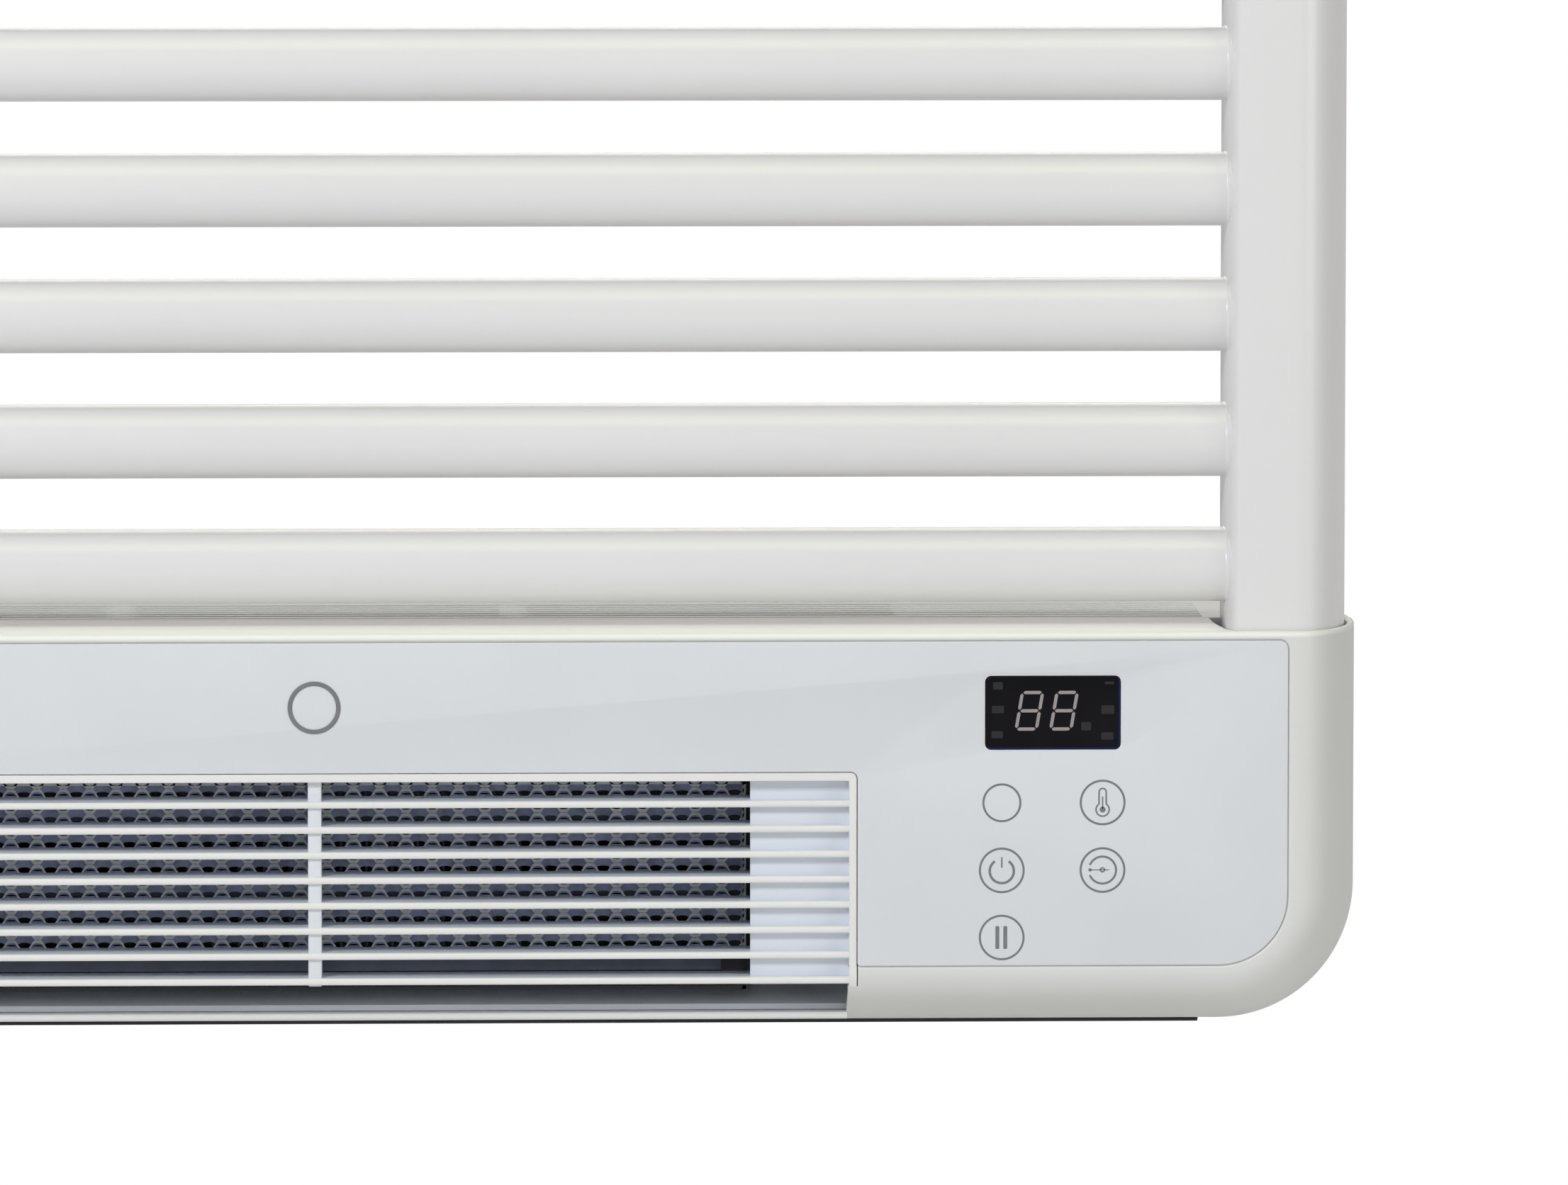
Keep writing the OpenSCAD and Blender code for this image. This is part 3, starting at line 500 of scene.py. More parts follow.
MOTOR = metal("motor_steel", (150, 152, 156), 0.42, brushed=(0.1, 1, 1))
BRASS = metal("brass_fitting", (190, 168, 110), 0.3, brushed=(1, 1, 0.1))
BOARD = circuit_board()
LENS = smoked_lens()


# ------------------------------------------------------------------ tube frame


POST_INNER_R, POST_OUTER_R, POST_REAR_R = (3, 12), (15, 30), 5  # round corners of the collectors


def collector_section(grow):
    """Section of the right-hand collector in XY, grown all round."""
    left, right = post_low[0] - grow, post_high[0] + grow
    front, back = post_low[1] - grow, post_high[1] + grow
    inner = [r + grow for r in POST_INNER_R]
    outer = [r + grow for r in POST_OUTER_R]
    rear = POST_REAR_R + grow
    return (
        arc(left + inner[0], front + inner[1], *inner, 180, 90, 14)
        + arc(right - outer[0], front + outer[1], *outer, 270, 90, 26)
        + arc(right - rear, back - rear, rear, rear, 0, 90, 7)
        + arc(left + rear, back - rear, rear, rear, 90, 90, 7)
    )


def collector_shape():
    """Closed foot, open top: the outer skin runs up and the bore runs down again."""
    foot, top = post_low[2], post_high[2]
    levels = [(foot, 0), (top - 0.25, 0), (top, -0.25), (top, -1.5), (foot + 3, -1.5)]
    return loft([[(x, y, z) for x, y in collector_section(m)] for z, m in levels])


def cap_shape(cap):
    """Lid with a softly rounded rim and a spigot down the bore."""
    low, high = cap
    seat = post_high[2]
    spigot = [(low[2], -1.9), (low[2] + 0.5, -1.65), (seat + 0.02, -1.65)]
    rim = [(seat + 0.02, -0.3), (seat + 0.3, -0.02)]
    levels = spigot + rim
    r = high[2] - seat - 0.4
    for i in range(7):
        a = math.radians(90 * i / 6)
        levels.append((high[2] - r * (1 - math.sin(a)), -r * (1 - math.cos(a)) * 1.2))
    return loft([[(x, y, z) for x, y in collector_section(m)] for z, m in levels])


def bar_section(half_h, half_d, grow):
    r = half_h + grow
    reach = half_d - half_h
    return arc(-reach, 0, r, r, 90, 180, 30) + arc(reach, 0, r, r, 270, 180, 30)


def bar_shape(node):
    """Oval bar that flares into a small weld fillet at each collector."""
    low, high = box_mm(node)
    cy, cz = (low[1] + high[1]) / 2, (low[2] + high[2]) / 2
    half_h, half_d = (high[2] - low[2]) / 2, (high[1] - low[1]) / 2
    fillet = 0.9
    flare_from = post_low[0] + 0.3 - fillet
    stations = [(0.0, 0.0), (flare_from * 0.5, 0.0), (flare_from - 2, 0.0)]
    for i in range(6):
        a = math.radians(90 * i / 5)
        stations.append((flare_from + fillet * math.sin(a), fillet * (1 - math.cos(a))))
    stations.append((high[0], fillet))
    stations = [(-x, m) for x, m in reversed(stations[1:])] + stations
    return loft([[(x, cy + y, cz + z) for y, z in bar_section(half_h, half_d, m)] for x, m in stations])


bars = sorted(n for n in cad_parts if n.startswith("bar_"))
for bar in bars:
    piece(bar + "_tube", bar_shape(bar), WHITE, [bar])

collector = collector_shape()
piece("right_collector_tube", collector, WHITE, ["right_collector"])
piece("left_collector_tube", mirrored(collector), WHITE, ["left_collector"])
lid = cap_shape(box_mm("right_top_cap"))
piece("right_top_lid", lid, WHITE, ["right_top_cap"])
piece("left_top_lid", mirrored(lid), WHITE, ["left_top_cap"])


# ------------------------------------------------------------------ heater housing


def outline_ring(t, half_w, top, bottom, r, upper=1.0):
    """Outline of the housing in XZ at a distance t behind the fascia's face."""
    outline = (
        arc(half_w - upper, RIM - top - upper, upper, upper, 0, 90, 5)
        + arc(upper - half_w, RIM - top - upper, upper, upper, 90, 90, 5)
        + arc(r - half_w, RIM - bottom + r, r, r, 180, 90, 28)
        + arc(half_w - r, RIM - bottom + r, r, r, 270, 90, 28)
    )
    return [(x, FRONT + t, z) for x, z in outline]


def lerp(a, b, k):
    return a + (b - a) * k


def front_ring(t, m, m_edge=0.0):
    """Ring of the front cover's skin, drawn in and set back by m, and drawn in by m_edge more."""
    depth = min(max(t - m, 0), COVER_D)
    k = 1 - math.sqrt(1 - (1 - depth / COVER_D) ** 2)
    fillet = 1.5
    top = fillet - math.sqrt(fillet**2 - (fillet - t) ** 2) if t < fillet and m == 0 else 0
    inward = m + m_edge
    return outline_ring(
        t,
        lerp(HALF_W, FACE_HALF_W, k) - inward,
        top + inward,
        lerp(HOUSING_H, FACE_BOTTOM, k) - inward,
        lerp(CORNER_R, FACE_R, k) - inward,
    )


def front_skin():
    rings = []
    for i in range(37):
        t = COVER_D * (1 - math.cos(math.radians(2.5 * i)))
        if t < COVER_D - 0.5:
            rings.append(front_ring(t, 0))
    rings += [front_ring(COVER_D - 0.3, 0), front_ring(COVER_D, 0, 0.25)]
    return loft(rings)


def front_hollow():
    depths = [4.5, 5, 6, 8, 10, 13, 17, 22, 28, 36, COVER_D + 1]
    return loft([front_ring(t, WALL) for t in depths])


def fascia_outline(m):
    """Fascia with its outlet cut-out in XZ, grown by m."""
    half_w, top, bottom = fascia_high[0] + m, fascia_high[2] + m, fascia_low[2] - m
    gap_x, gap_z = OUTLET_HALF_W + 0.2 - m, grille_high[2] + 0.2 - m
    low_r, high_r, foot_r, gap_r = FASCIA_LOW_R + m, FASCIA_HIGH_R + m, 0.7 + m, 1.9 - m
    return (
        arc(gap_x + foot_r, bottom + foot_r, foot_r, foot_r, 180, 90, 5)
        + arc(half_w - low_r, bottom + low_r, low_r, low_r, 270, 90, 20)
        + arc(half_w - high_r, top - high_r, high_r, high_r, 0, 90, 7)
        + arc(high_r - half_w, top - high_r, high_r, high_r, 90, 90, 7)
        + arc(low_r - half_w, bottom + low_r, low_r, low_r, 180, 90, 20)
        + arc(-gap_x - foot_r, bottom + foot_r, foot_r, foot_r, 270, 90, 5)
        + arc(gap_r - gap_x, gap_z - gap_r, gap_r, gap_r, 180, -90, 6)
        + arc(gap_x - gap_r, gap_z - gap_r, gap_r, gap_r, 90, -90, 6)
    )


def plain_fascia_outline(m):
    """Outline of the fascia's seat, without the outlet."""
    half_w, top, bottom = fascia_high[0] + m, fascia_high[2] + m, fascia_low[2] - m
    low_r, high_r = FASCIA_LOW_R + m, FASCIA_HIGH_R + m
    return (
        arc(half_w - low_r, bottom + low_r, low_r, low_r, 270, 90, 24)
        + arc(half_w - high_r, top - high_r, high_r, high_r, 0, 90, 8)
        + arc(high_r - half_w, top - high_r, high_r, high_r, 90, 90, 8)
        + arc(low_r - half_w, bottom + low_r, low_r, low_r, 180, 90, 24)
    )


def seat_cut():
    levels = [(-1.0, 0.8), (0.0, 0.8), (0.1, 0.55), (0.3, 0.36), (0.75, 0.3), (0.75, 0.04), (2.1, 0.04)]
    return loft([[(x, FRONT + t, z) for x, z in plain_fascia_outline(m)] for t, m in levels])


def outlet_cuts():
    """Air outlet through the front: as wide as the grille, but narrower under its legs."""
    wide, narrow = OUTLET_HALF_W + 0.3, OUTLET_HALF_W - 2.2
    top, legs, lip = RIM - OUTLET_DROP + 0.3, RIM - LEGS_DROP - 0.2, RIM - LIP_DROP
    return [
        ("-", block((-wide, FRONT - 1, legs), (wide, FRONT + 30, top))),
        ("-", block((-narrow, FRONT - 1, lip), (narrow, FRONT + 17, legs + 1))),
        ("-", block((-wide, FRONT + 16, lip), (wide, FRONT + 30, legs + 1))),
    ]


def lip_nose():
    """Rounded nose of the outlet's lower lip, which stands a little proud of the cover."""
    profile = [(22, 104.4), (21, LIP_DROP - 0.04)]
    profile += arc(14.2, LIP_DROP + 0.96, 1.0, 1.0, 270, -90, 6)
    profile += arc(14.1, 103.35, 0.9, 0.9, 180, -90, 6)
    profile.append((21.5, 104.4))
    half_w = OUTLET_HALF_W - 2.1
    return rod([(FRONT + t, RIM - drop) for t, drop in profile], -half_w, half_w)


def notch_outline(m):
    """Plan of the notch for the right collector: its inner side opens out towards the seam."""
    seam, reach, swell = FRONT + COVER_D, 39.6, 6.2
    (inner_x, inner_y), (outer_x, outer_y) = POST_INNER_R, POST_OUTER_R

    def bulge(y):
        along = min(max((y - seam) / reach, -1), 1)
        return post_low[0] + 3.9 - swell * math.sqrt(1 - along**2) - (m - 0.6)

    inner = []
    y = seam + 1
    while y > post_low[1] + inner_y:
        inner.append((min(post_low[0] - m, bulge(y)), y))
        y -= 1.5
    for x, y in arc(post_low[0] + inner_x, post_low[1] + inner_y, inner_x + m, inner_y + m, 180, 90, 14):
        inner.append((min(x, bulge(y)), y))
    outer = arc(post_high[0] - outer_x, post_low[1] + outer_y, outer_x + m, outer_y + m, 270, 90, 26)
    return inner + outer + [(post_high[0] + m, seam + 1)]


def notch_cut():
    levels = [(RIM - 50, 0.6), (RIM - 0.55, 0.6), (RIM - 0.15, 0.75), (RIM, 1.0), (RIM + 1, 1.0)]
    return loft([[(x, y, z) for x, y in notch_outline(m)] for z, m in levels])


def tube_mm(place, axis_turn, outer, inner, length):
    """Hollow round post that starts at place."""
    profile = [(inner, 0), (outer, 0), (outer, length), (inner, length)]
    return moved(turned(profile, 32), place, axis_turn)


TO_ROOM = Matrix.Rotation(math.radians(90), 3, "X")  # turns +Z to -Y
POST_X, POST_DROPS = 232, (22, 78)


def window_rect(m, r):
    half_w, half_h = (window_high[0] - window_low[0]) / 2 + m, (window_high[2] - window_low[2]) / 2 + m
    cx, cz = (window_high[0] + window_low[0]) / 2, (window_high[2] + window_low[2]) / 2
    return [(cx + x, cz + z) for x, z in round_rect(half_w, half_h, r + m, 6)]


front = carved(
    front_skin(),
    ("-", front_hollow()),
    ("-", seat_cut()),
    *outlet_cuts(),
    ("+", lip_nose()),
    ("-", plate(window_rect(-1.2, 1.6), FRONT - 1, FRONT + 10)),
    ("-", notch_cut()),
    ("-", mirrored(notch_cut())),
)
piece("front_shell", front, COVER, ["front_cover"], crease=30)
rib_x = OUTLET_HALF_W + 0.6
ribs = both_sides(block((rib_x, FRONT + 4, RIM - 90), (rib_x + 2, FRONT + 14, RIM - 3)))
post_end = -24
post_length = post_end - FRONT - 4
posts = merged(
    *[
        tube_mm((side * POST_X, post_end, RIM - drop), TO_ROOM, 4, 1.4, post_length)
        for side in (-1, 1)
        for drop in POST_DROPS
    ]
)
piece("front_shell_ribs", merged(ribs, posts), COVER)


def draw_in(t):
    """Share of the rear cover's taper that is done at a distance t behind the fascia's face."""
    return (max(t - COVER_D, 0) / (BACK - FRONT - COVER_D)) ** 2.2


def rear_half_w(t):
    return lerp(HALF_W, REAR_HALF_W, draw_in(t))


def rear_ring(t, m):
    k = draw_in(t)
    bottom, r = lerp(HOUSING_H, REAR_H, k), lerp(CORNER_R, REAR_R, k)
    return outline_ring(t, rear_half_w(t) - m, m, bottom - m, r - m, 1.6)


def rear_skin():
    first, last, fillet = COVER_D + 0.2, BACK - FRONT, 2.4
    rings = [rear_ring(first, 0.25), rear_ring(first + 0.3, 0)]
    rings += [rear_ring(lerp(first + 1, last - fillet, i / 20), 0) for i in range(21)]
    for i in range(1, 7):
        a = math.radians(15 * i)
        rings.append(rear_ring(last - fillet * (1 - math.sin(a)), fillet * (1 - math.cos(a))))
    return loft(rings)


def rear_hollow():
    first, last = COVER_D - 1, BACK - FRONT - WALL
    return loft([rear_ring(lerp(first, last, i / 12), WALL) for i in range(13)])


FILTER_Y = (-62, -23)  # front and back of the dust filter
SLOT_R = 1.6  # half of an inlet slot's width
SLOT_PITCH = 6.2


def slot_y(i):
    """Middle of the i-th row of inlet slots."""
    return FILTER_Y[0] + 4.9 + SLOT_PITCH * i


def inlet_slots():
    """Three banks of six slots over the filter, with opened mouths."""
    reach = 48.4
    slots = []
    for bank in (-106, 0, 106):
        for i in range(6):
            rings = []
            for z, m in [(RIM - 4, 0), (RIM - 1.6, 0), (RIM - 1.2, 0.35), (RIM + 1, 0.35)]:
                r = SLOT_R + m
                outline = arc(bank + reach, slot_y(i), r, r, -90, 180, 8)
                outline += arc(bank - reach, slot_y(i), r, r, 90, 180, 8)
                rings.append([(x, y, z) for x, y in outline])
            slots.append(loft(rings))
    return merged(*slots)


def inlet_grooves():
    """Shallow grooves that carry the slots' lines on over the whole width."""
    half_w = 238
    lines = [slot_y(i) for i in range(-1, 6)]
    return merged(*[block((-half_w, y - SLOT_R, RIM - 1.1), (half_w, y + SLOT_R, RIM + 1)) for y in lines])


SWITCH_Y = -40
SWITCH_PLACE = (rear_half_w(SWITCH_Y - FRONT), SWITCH_Y, RIM - 50)
SWITCH_TURN = Matrix.Rotation(math.radians(15), 3, "Z")  # as the flank leans there


def at_switch(shape):
    return moved(shape, SWITCH_PLACE, SWITCH_TURN)


GLAND = (-200, RIM - 55)  # cable gland's place in the back wall


def round_cut(x, z, start, r, length, flare):
    """Round hole into the back wall, with an opened mouth."""
    profile = [(0, 0), (r + flare, 0), (r + flare, start), (r, start + flare), (r, length), (0, length)]
    return moved(turned(profile, 40), (x, BACK + start, z), TO_ROOM)


def at_screws(shape):
    """Copies of a shape at the four cover screws, on the back wall's outer face."""
    places = [(side * POST_X, BACK, RIM - drop) for side in (-1, 1) for drop in POST_DROPS]
    return merged(*[moved(shape, place, TO_ROOM) for place in places])


screw_seat = turned([(0, 0.6), (6, 0.6), (6, 11.8), (0, 11.8)], 40)
screw_hole = turned([(0, -1), (3.9, -1), (3.9, 0), (3.4, 0.5), (3.4, 7), (1.8, 7), (1.8, 14), (0, 14)], 40)
plate_recess = plate([(-70 + x, RIM - 50 + z) for x, z in round_rect(38, 19, 3, 6)], BACK - 0.35, BACK + 1)
filter_slot = block((250, FILTER_Y[0] - 0.5, RIM - 9.3), (290, FILTER_Y[1] + 0.5, RIM - 4.6))
rear = carved(
    rear_skin(),
    ("-", rear_hollow()),
    ("+", at_screws(screw_seat)),
    ("-", at_screws(screw_hole)),
    ("-", plate_recess),
    ("-", inlet_grooves()),
    ("-", inlet_slots()),
    ("-", filter_slot),
    ("-", at_switch(block((-22, -9.7, -13.7), (10, 9.7, 13.7)))),
    ("-", round_cut(*GLAND, 1, 8.1, 10, 0.3)),
)
piece("rear_shell", rear, COVER, ["rear_cover"], crease=30)

ledges = []
# front, back and depth below the rim of each strip that guides the filter
for y0, y1, top in (
    (FILTER_Y[0] - 1, FILTER_Y[0] + 2.5, 9.3),
    (FILTER_Y[1] - 2.5, FILTER_Y[1] + 1, 9.3),
    (FILTER_Y[0] - 2.2, FILTER_Y[0] - 0.5, 1.5),
    (FILTER_Y[1] + 0.5, FILTER_Y[1] + 2.2, 1.5),
):
    ledges.append(block((-169, y0, RIM - 11), (254, y1, RIM - top)))
piece("filter_ledges", merged(*ledges), COVER)

head = soft_profile([(0, 4.3), (3.2, 4.3), (3.2, 6.8), (1.3, 6.8), (1.3, 24), (0, 24)], 0.35)
upright_slot, level_slot = block((-0.4, -1.9, 3), (0.4, 1.9, 5.6)), block((-1.9, -0.4, 3), (1.9, 0.4, 5.6))
screws = carved(at_screws(turned(head, 32)), ("-", at_screws(upright_slot)), ("-", at_screws(level_slot)))
piece("cover_screw_set", screws, ZINC, ["cover_screws"])


# ------------------------------------------------------------------ fascia, window and marks


def rounded_rim(r, angles):
    """(distance behind the face, growth) pairs round a rim of radius r."""
    turns = [math.radians(a) for a in angles]
    return [(r * (1 - math.sin(a)), -r * (1 - math.cos(a))) for a in turns]


def fascia_shape():
    rings = [(2.0, -0.15), (1.8, 0), (0.3, 0)] + rounded_rim(0.3, (30, 60, 90))
    return loft([[(x, FRONT + t, z) for x, z in fascia_outline(m)] for t, m in rings])


def window_seat():
    """Opening for the window with a shallow sloping bezel."""
    levels = [(-1, 1.15), (0, 1.05), (0.1, 0.85), (0.3, 0.2), (0.3, 0.15), (4, 0.15)]
    return loft([[(x, FRONT + t, z) for x, z in window_rect(m, 1.5)] for t, m in levels])


panel = carved(fascia_shape(), ("-", window_seat()))
piece("fascia_plate", panel, FASCIA, ["fascia_panel"], crease=30)

lens_levels = [(1.6, 0), (0.45, 0)] + rounded_rim(0.45, (20, 45, 70, 90))
piece(
    "window_lens",
    loft([[(x, FRONT + t, z) for x, z in window_rect(m, 1.6)] for t, m in lens_levels]),
    LENS,
    ["display_window"],
)


def segment(length, stroke):
    """Seven-segment bar along X with pointed ends."""
    end, tip = length / 2, stroke / 2
    return [(-end, 0), (tip - end, -tip), (end - tip, -tip), (end, 0), (end - tip, tip), (tip - end, tip)]


def digit(cx, cz):
    """An eight of leaning segments."""
    w, h, stroke, gap = 5.35, 9.7, 0.86, 0.24
    lean = math.tan(math.radians(9.5))
    shapes = []
    for row in (-1, 0, 1):
        shapes.append([(x, z + row * h / 2) for x, z in segment(w - 2 * gap, stroke)])
    for col in (-1, 1):
        for row in (-1, 1):
            upright = segment(h / 2 - 2 * gap, stroke)
            shapes.append([(col * w / 2 - z, row * h / 4 + x) for x, z in upright])
    leaning = [[(cx + x + z * lean, cz + z) for x, z in shape] for shape in shapes]
    return merged(*[plate(outline, FRONT - 0.03, FRONT + 0.3) for outline in leaning])


window_x = (window_low[0] + window_high[0]) / 2
window_z = (window_low[2] + window_high[2]) / 2
DIGIT = painted("lit_segment", (160, 152, 152), 0.4, spread=0.04, cloud=300, grain=2500, depth=0.001)
digits = merged(*[digit(window_x + x, window_z + 0.55) for x in (-6.25, 2.9)])
piece("display_digits", digits, DIGIT)

UNLIT = painted("unlit_segment", (30, 29, 34), 0.4, spread=0.1, cloud=300, grain=2500, depth=0.001)
icons = []
# place in the window, width and height of each unlit field
for x, z, w, h in (
    (14.5, 0.8, 3.4, 2.3),
    (14.9, 7.9, 2.6, 0.7),
    (-14.6, 7.2, 2.6, 2.0),
    (-14.6, 0.9, 3.2, 2.0),
    (-14.8, -5.8, 3.0, 1.9),
    (8.8, -3.6, 2.6, 2.2),
    (14.4, -6.2, 3.2, 2.0),
):
    field = [(window_x + x + u, window_z + z + v) for u, v in round_rect(w / 2, h / 2, 0.3, 3)]
    icons.append(plate(field, FRONT - 0.02, FRONT + 0.3))
piece("display_icons", merged(*icons), UNLIT)

MARK_FACE = FRONT + 0.2  # a printed mark reaches this far into the fascia


def mark(line, closed=False, width=0.56):
    return ribbon(line, width, 0.23, closed, MARK_FACE)


def dot(cx, cz, r):
    return plate(circle_line(cx, cz, r, steps=24), FRONT - 0.03, MARK_FACE)


def thermometer(x, z):
    """Outline of bulb and stem, with the liquid inside."""
    bulb, neck = 1.75, 0.95
    shoulder = 90 - math.degrees(math.acos(neck / bulb))
    outline = arc(x, z - 1.9, bulb, bulb, 90 + shoulder, 360 - 2 * shoulder, 28)
    outline += arc(x, z + 2.8, neck, neck, 0, 180, 12)
    column = mark([(x, z - 1.6), (x, z + 1.6)], width=0.36)
    return merged(mark(outline, True, 0.42), dot(x, z - 1.9, 0.8), column)


def power_sign(x, z):
    ring = mark(circle_line(x, z - 0.2, 3.2, 125, 290, 40), width=0.66)
    return merged(ring, mark([(x, z + 0.7), (x, z + 3.5)], width=0.4))


def dial_sign(x, z):
    """Ring that is open on the left, with a hand."""
    ring = mark(circle_line(x, z, 3.6, -158, 316, 40))
    z += 0.05
    hand = mark([(x - 3.1, z), (x + 1.7, z)], width=0.26)
    return merged(ring, hand, mark(circle_line(x, z, 0.55, steps=20), True, 0.34), dot(x - 3.3, z, 0.45))


def pause_sign(x, z):
    stroke = round_rect(0.52, 3.05, 0.3, 3)
    outlines = [[(x + dx + u, z + v) for u, v in stroke] for dx in (-1.15, 0.95)]
    return merged(*[plate(outline, FRONT - 0.03, MARK_FACE) for outline in outlines])


def key_marks():
    """Printed rings and generic symbols of the touch keys."""
    left, right = window_x - 13.5, window_x + 13.2
    rows = [RIM - 45.1, RIM - 63.1, RIM - 81]
    rings = [mark(circle_line(left, rows[0], 4.9), True)]
    for x, z in ((right, rows[0]), (left, rows[1]), (right, rows[1]), (left, rows[2])):
        rings.append(mark(circle_line(x, z, 5.8), True))
    return merged(
        *rings,
        thermometer(right, rows[0]),
        power_sign(left, rows[1]),
        dial_sign(right, rows[1]),
        pause_sign(left, rows[2]),
    )


piece("key_marks", key_marks(), PRINT)

badge_low, badge_high = box_mm("badge_ring")
badge_profile = soft_profile([(5.8, 0), (7, 0), (7, 0.8), (5.8, 0.8)], 0.24, 4)
piece(
    "badge_trim",
    moved(turned(badge_profile, 72), (0, badge_high[1], (badge_low[2] + badge_high[2]) / 2), TO_ROOM),
    PRINT,
    ["badge_ring"],
)


# ------------------------------------------------------------------ air outlet


def cover_depth(drop):
    """How far behind the fascia's face the cover's curved underside lies at that drop."""
    s = max((drop - FACE_BOTTOM) / (HOUSING_H - FACE_BOTTOM), 0)
    return COVER_D * (1 - math.sqrt(1 - s**2))


def leg_foot(inner, outer):
    """End of a grille leg, which follows the cover's curve down to the cover."""
    back, soft = grille_high[1], 0.3
    rings = []
    for drop in (88.6, 89.6, 90.6, 91.6, 92.4, 93.2, 94.0):
        front = FRONT + max(0.35, cover_depth(drop))
        plan = [(inner, front + soft), (inner + soft, front), (outer, front), (outer, back), (inner, back)]
        rings.append([(x, y, RIM - drop) for x, y in plan])
    return loft(rings)


def blade(z, half_w):
    """One blade of the outlet, with a round nose towards the room."""
    front, back = FRONT + 1.4, FRONT + 16.4
    half_t, nose, tail = 0.9, 0.75, 0.4
    profile = (
        arc(front + nose, z + half_t - nose, nose, nose, 90, 90, 6)
        + arc(front + nose, z - half_t + nose, nose, nose, 180, 90, 6)
        + arc(back - tail, z - half_t + tail, tail, tail, 270, 90, 3)
        + arc(back - tail, z + half_t - tail, tail, tail, 0, 90, 3)
    )
    return rod(profile, -half_w, half_w)


def grille_shape():
    """Frame, eight blades, a blank at each end and a centre rib."""
    half_w, drop, frame_t = OUTLET_HALF_W, OUTLET_DROP, 2.0
    inner, inner_drop, foot, leg = half_w - frame_t, drop + 2.2, drop + 56.8, drop + 52
    outline = (
        [(half_w, RIM - leg)]
        + arc(half_w - 1.6, RIM - drop - 1.6, 1.6, 1.6, 0, 90, 6)
        + arc(1.6 - half_w, RIM - drop - 1.6, 1.6, 1.6, 90, 90, 6)
        + [(-half_w, RIM - leg), (-inner, RIM - leg)]
        + arc(0.4 - inner, RIM - inner_drop - 0.4, 0.4, 0.4, 180, -90, 4)
        + arc(inner - 0.4, RIM - inner_drop - 0.4, 0.4, 0.4, 90, -90, 4)
        + [(inner, RIM - leg)]
    )
    shapes = [plate(outline, grille_low[1], grille_high[1], 0.35, 4), both_sides(leg_foot(inner, half_w))]
    first_blade, blade_pitch = drop + 8.4, 6.72
    for i in range(8):
        shapes.append(blade(RIM - (first_blade + blade_pitch * i), inner + 0.6))
    blank = block((115.3, FRONT + 5, RIM - foot), (inner + 0.6, FRONT + 7.6, RIM - inner_drop + 0.6), 0.3)
    shapes.append(both_sides(blank))
    shapes.append(block((-1.8, FRONT + 3, RIM - foot), (1.8, FRONT + 18, RIM - inner_drop + 0.6), 0.4))
    return merged(*shapes)


piece("outlet_louvre", grille_shape(), GRILLE, ["outlet_grille"], crease=40)

guard_low, guard_high = box_mm("heater_guard")


def strands(front, back, width, shift):
    """Fourteen rows of waved strands that touch at their crests, from front to back."""
    half = guard_high[0]
    first_row, pitch_x, rise, offset = RIM - 42.8, 7.0, 3.36, 3.1
    steps = int(2 * half / 0.5)
    shapes = []
    for row in range(14):
        z = first_row + shift * rise - row * rise
        rings = []
        for i in range(steps + 1):
            x = -half + 0.5 + (2 * half - 1) * i / steps
            phase = math.cos(2 * math.pi * (x - offset) / pitch_x)
            sway = math.tanh(1.7 * phase) / math.tanh(1.7) * (rise / 2 - width * 0.42)
            centre = z + (sway if row % 2 else -sway)
            below, above = centre - width / 2, centre + width / 2
            rings.append([(x, front, below), (x, front, above), (x, back, above), (x, back, below)])
        shapes.append(loft(rings))
    return merged(*shapes)


def guard_frame():
    half, front, bottom = guard_high[0], guard_low[1], guard_low[2]
    back, top = guard_high[1], guard_high[2]
    top_rail = block((-half, front, top - 1), (half, back, top))
    foot_rail = block((-half, front, bottom), (half, back, bottom + 1))
    return merged(top_rail, foot_rail, both_sides(block((half - 1, front, bottom), (half, back, top))))


guard_middle = (guard_low[1] + guard_high[1]) / 2
outer_mesh = strands(guard_low[1], guard_middle - 0.05, 0.95, 0.5)
inner_mesh = strands(guard_middle + 0.05, guard_high[1], 2.75, 0.02)
piece("guard_mesh", merged(guard_frame(), outer_mesh), GUARD, ["heater_guard"], crease=50)
piece("guard_inner_mesh", inner_mesh, INNER_GUARD, crease=50)

# black bead along the straight part of the housing's underside: painted shadow, a dark strip that stands in
# for the shade line under the housing
shadow_bead_half_w = 236
shadow_bead = arc(FRONT + 33, RIM - HOUSING_H + 1, 1.5, 1.48, 0, 360, 20)[:-1]
piece("underside_shadow_bead", rod(shadow_bead, -shadow_bead_half_w, shadow_bead_half_w, 0.2, 2), RUBBER)


# ------------------------------------------------------------------ CAD nodes that stay, with their finish

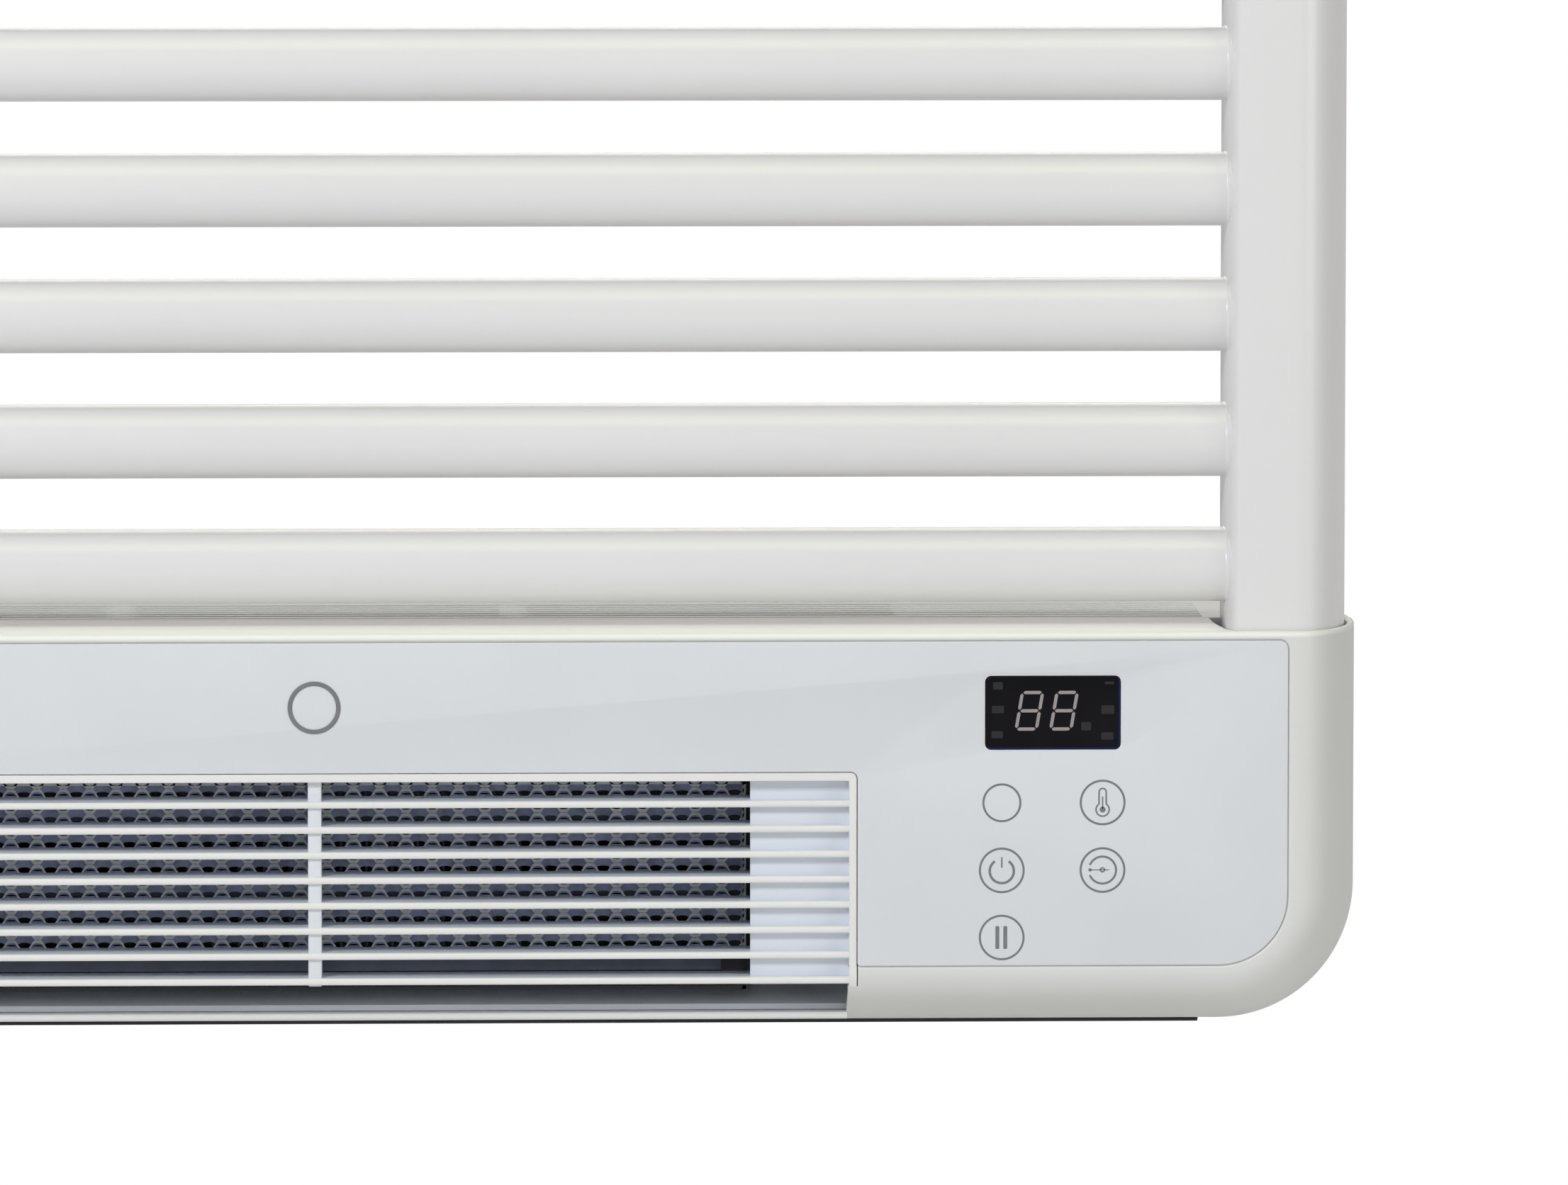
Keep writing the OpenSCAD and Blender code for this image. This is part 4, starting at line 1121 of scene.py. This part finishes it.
KEPT = {  # node: its material and how far its edges are bevelled
    "bracket_stems": (WHITE, 0.4),
    "foot_set_screws": (ZINC, 0.1),
    "immersion_heater": (BRASS, 0.25),
    "heater_gasket": (RUBBER, 0.15),
    "blind_plug": (BRASS, 0.25),
    "wall_foot_low_left": (FOOT, 0.5),
    "wall_foot_low_right": (FOOT, 0.5),
    "wall_foot_high_left": (FOOT, 0.5),
    "wall_foot_high_right": (FOOT, 0.5),
    "display_module": (DARK, 0.2),
    "touch_foil": (COPPER, 0),
    "control_board": (BOARD, 0.15),
    "power_board": (BOARD, 0.15),
    "board_spacers": (NYLON, 0.2),
    "terminal_block": (NYLON, 0.3),
    "heater_frame": (DARK, 0.2),
    "heater_element": (HEATER, 0),
    "fan_rotor": (DARK, 0),
    "fan_shaft": (ZINC, 0.2),
    "fan_bush": (RUBBER, 0.3),
    "fan_motor": (MOTOR, 0.3),
    "motor_bracket": (ZINC, 0.2),
    "fan_scroll": (DUCT, 0),
    "thermal_cutout": (NYLON, 0.2),
    "filter_frame": (FILTER, 0.3),
    "filter_mesh": (NET, 0),
    "switch_housing": (FOOT, 0.35),
    "switch_rocker": (ROCKER, 0.4),
    "cable_gland": (DARK, 0.3),
}
for name, (material, width) in KEPT.items():
    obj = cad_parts[name]
    for place in obj.material_slots:
        place.material = material
    weld = obj.modifiers.new("weld", "WELD")
    weld.merge_threshold = 1e-6
    if width:
        bevel = obj.modifiers.new("edge", "BEVEL")
        bevel.width = width * MM
        bevel.segments = 2
        bevel.limit_method = "ANGLE"
        bevel.angle_limit = math.radians(38)


# ------------------------------------------------------------------ camera, light and floor


def aim(obj, target):
    obj.rotation_euler = (Vector(target) - obj.location).to_track_quat("-Z", "Y").to_euler()


def make_camera():
    """Stands 3 m in front of the fascia, a little right of the middle, and looks slightly down."""
    aside, away, above = 31.4, 3000, 276.7
    data = bpy.data.cameras.new("camera")
    data.sensor_width = 36
    data.lens = 261.9765
    data.clip_start, data.clip_end = 0.1, 60
    camera = bpy.data.objects.new("camera", data)
    bpy.context.scene.collection.objects.link(camera)
    camera.location = (aside * MM, (FRONT - away) * MM, (RIM + above) * MM)
    yaw, pitch = math.radians(1.77), math.radians(5.06)
    ahead = Vector((math.sin(yaw) * math.cos(pitch), math.cos(yaw) * math.cos(pitch), -math.sin(pitch)))
    camera.rotation_euler = ahead.to_track_quat("-Z", "Y").to_euler()
    bpy.context.scene.camera = camera


def area_light(name, place, target, size, power, colour=(1, 1, 1)):
    data = bpy.data.lights.new(name, "AREA")
    data.shape = "RECTANGLE"
    data.size, data.size_y = size
    data.energy = power
    data.color = colour
    lamp = bpy.data.objects.new(name, data)
    bpy.context.scene.collection.objects.link(lamp)
    lamp.location = place
    aim(lamp, target)
    lamp.visible_camera = False


def make_world():
    """White behind the object; its light is bright up to the horizon and dim overhead."""
    world = bpy.data.worlds.new("studio")
    bpy.context.scene.world = world
    world.use_nodes = True
    tree = world.node_tree
    tree.nodes.clear()
    coords = tree.nodes.new("ShaderNodeTexCoord")
    split = tree.nodes.new("ShaderNodeSeparateXYZ")
    height = tree.nodes.new("ShaderNodeMapRange")
    height.inputs["From Min"].default_value = -0.05
    height.inputs["From Max"].default_value = 0.25
    sky = tree.nodes.new("ShaderNodeMix")
    sky.data_type = "RGBA"
    low, high = [socket for socket in sky.inputs if socket.type == "RGBA"]
    low.default_value = (0.61, 0.60, 0.585, 1)
    high.default_value = (0.08, 0.083, 0.13, 1)
    path = tree.nodes.new("ShaderNodeLightPath")
    fill = tree.nodes.new("ShaderNodeBackground")
    white = tree.nodes.new("ShaderNodeBackground")
    white.inputs["Color"].default_value = (1, 1, 1, 1)
    mix = tree.nodes.new("ShaderNodeMixShader")
    out = tree.nodes.new("ShaderNodeOutputWorld")
    links = tree.links
    links.new(coords.outputs["Generated"], split.inputs[0])
    links.new(split.outputs["Z"], height.inputs["Value"])
    links.new(height.outputs[0], sky.inputs[0])
    links.new(next(socket for socket in sky.outputs if socket.type == "RGBA"), fill.inputs["Color"])
    links.new(path.outputs["Is Camera Ray"], mix.inputs["Fac"])
    links.new(fill.outputs[0], mix.inputs[1])
    links.new(white.outputs[0], mix.inputs[2])
    links.new(mix.outputs[0], out.inputs["Surface"])


def make_floor():
    """Pale floor under the object, too low to come into the main view."""
    top, thickness = (RIM - HOUSING_H - 200) * MM, 0.02
    outline = [(x, y - 0.32) for x, y in round_rect(1.35, 1.05, 0.5, 16)]
    floor = bpy.data.objects.new("floor", to_mesh("floor", prism(outline, top - thickness, top)))
    bpy.context.scene.collection.objects.link(floor)
    paint = painted("floor_paint", (248, 248, 247), 0.6, spread=0.01, cloud=1.5, grain=60, depth=0.1)
    floor.data.materials.append(paint)


make_camera()
make_world()
make_floor()
bpy.context.scene.view_settings.view_transform = "Standard"
middle = (0, FRONT * MM, RIM * MM)
area_light("key", (-1.3, -2.4, 0.9), middle, (0.6, 0.6), 41, (0.94, 0.97, 1.0))
area_light("right", (2.4, -1.5, 0.1), middle, (1.4, 1.4), 14, (0.98, 1.0, 0.9))
area_light("top", (0.2, -0.9, 1.9), middle, (2.2, 1.2), 15.5, (0.98, 1.0, 0.68))
area_light("back", (0.2, 2.6, 0.5), (0, 0, -0.4), (2.4, 1.6), 16, (1.0, 0.98, 0.84))
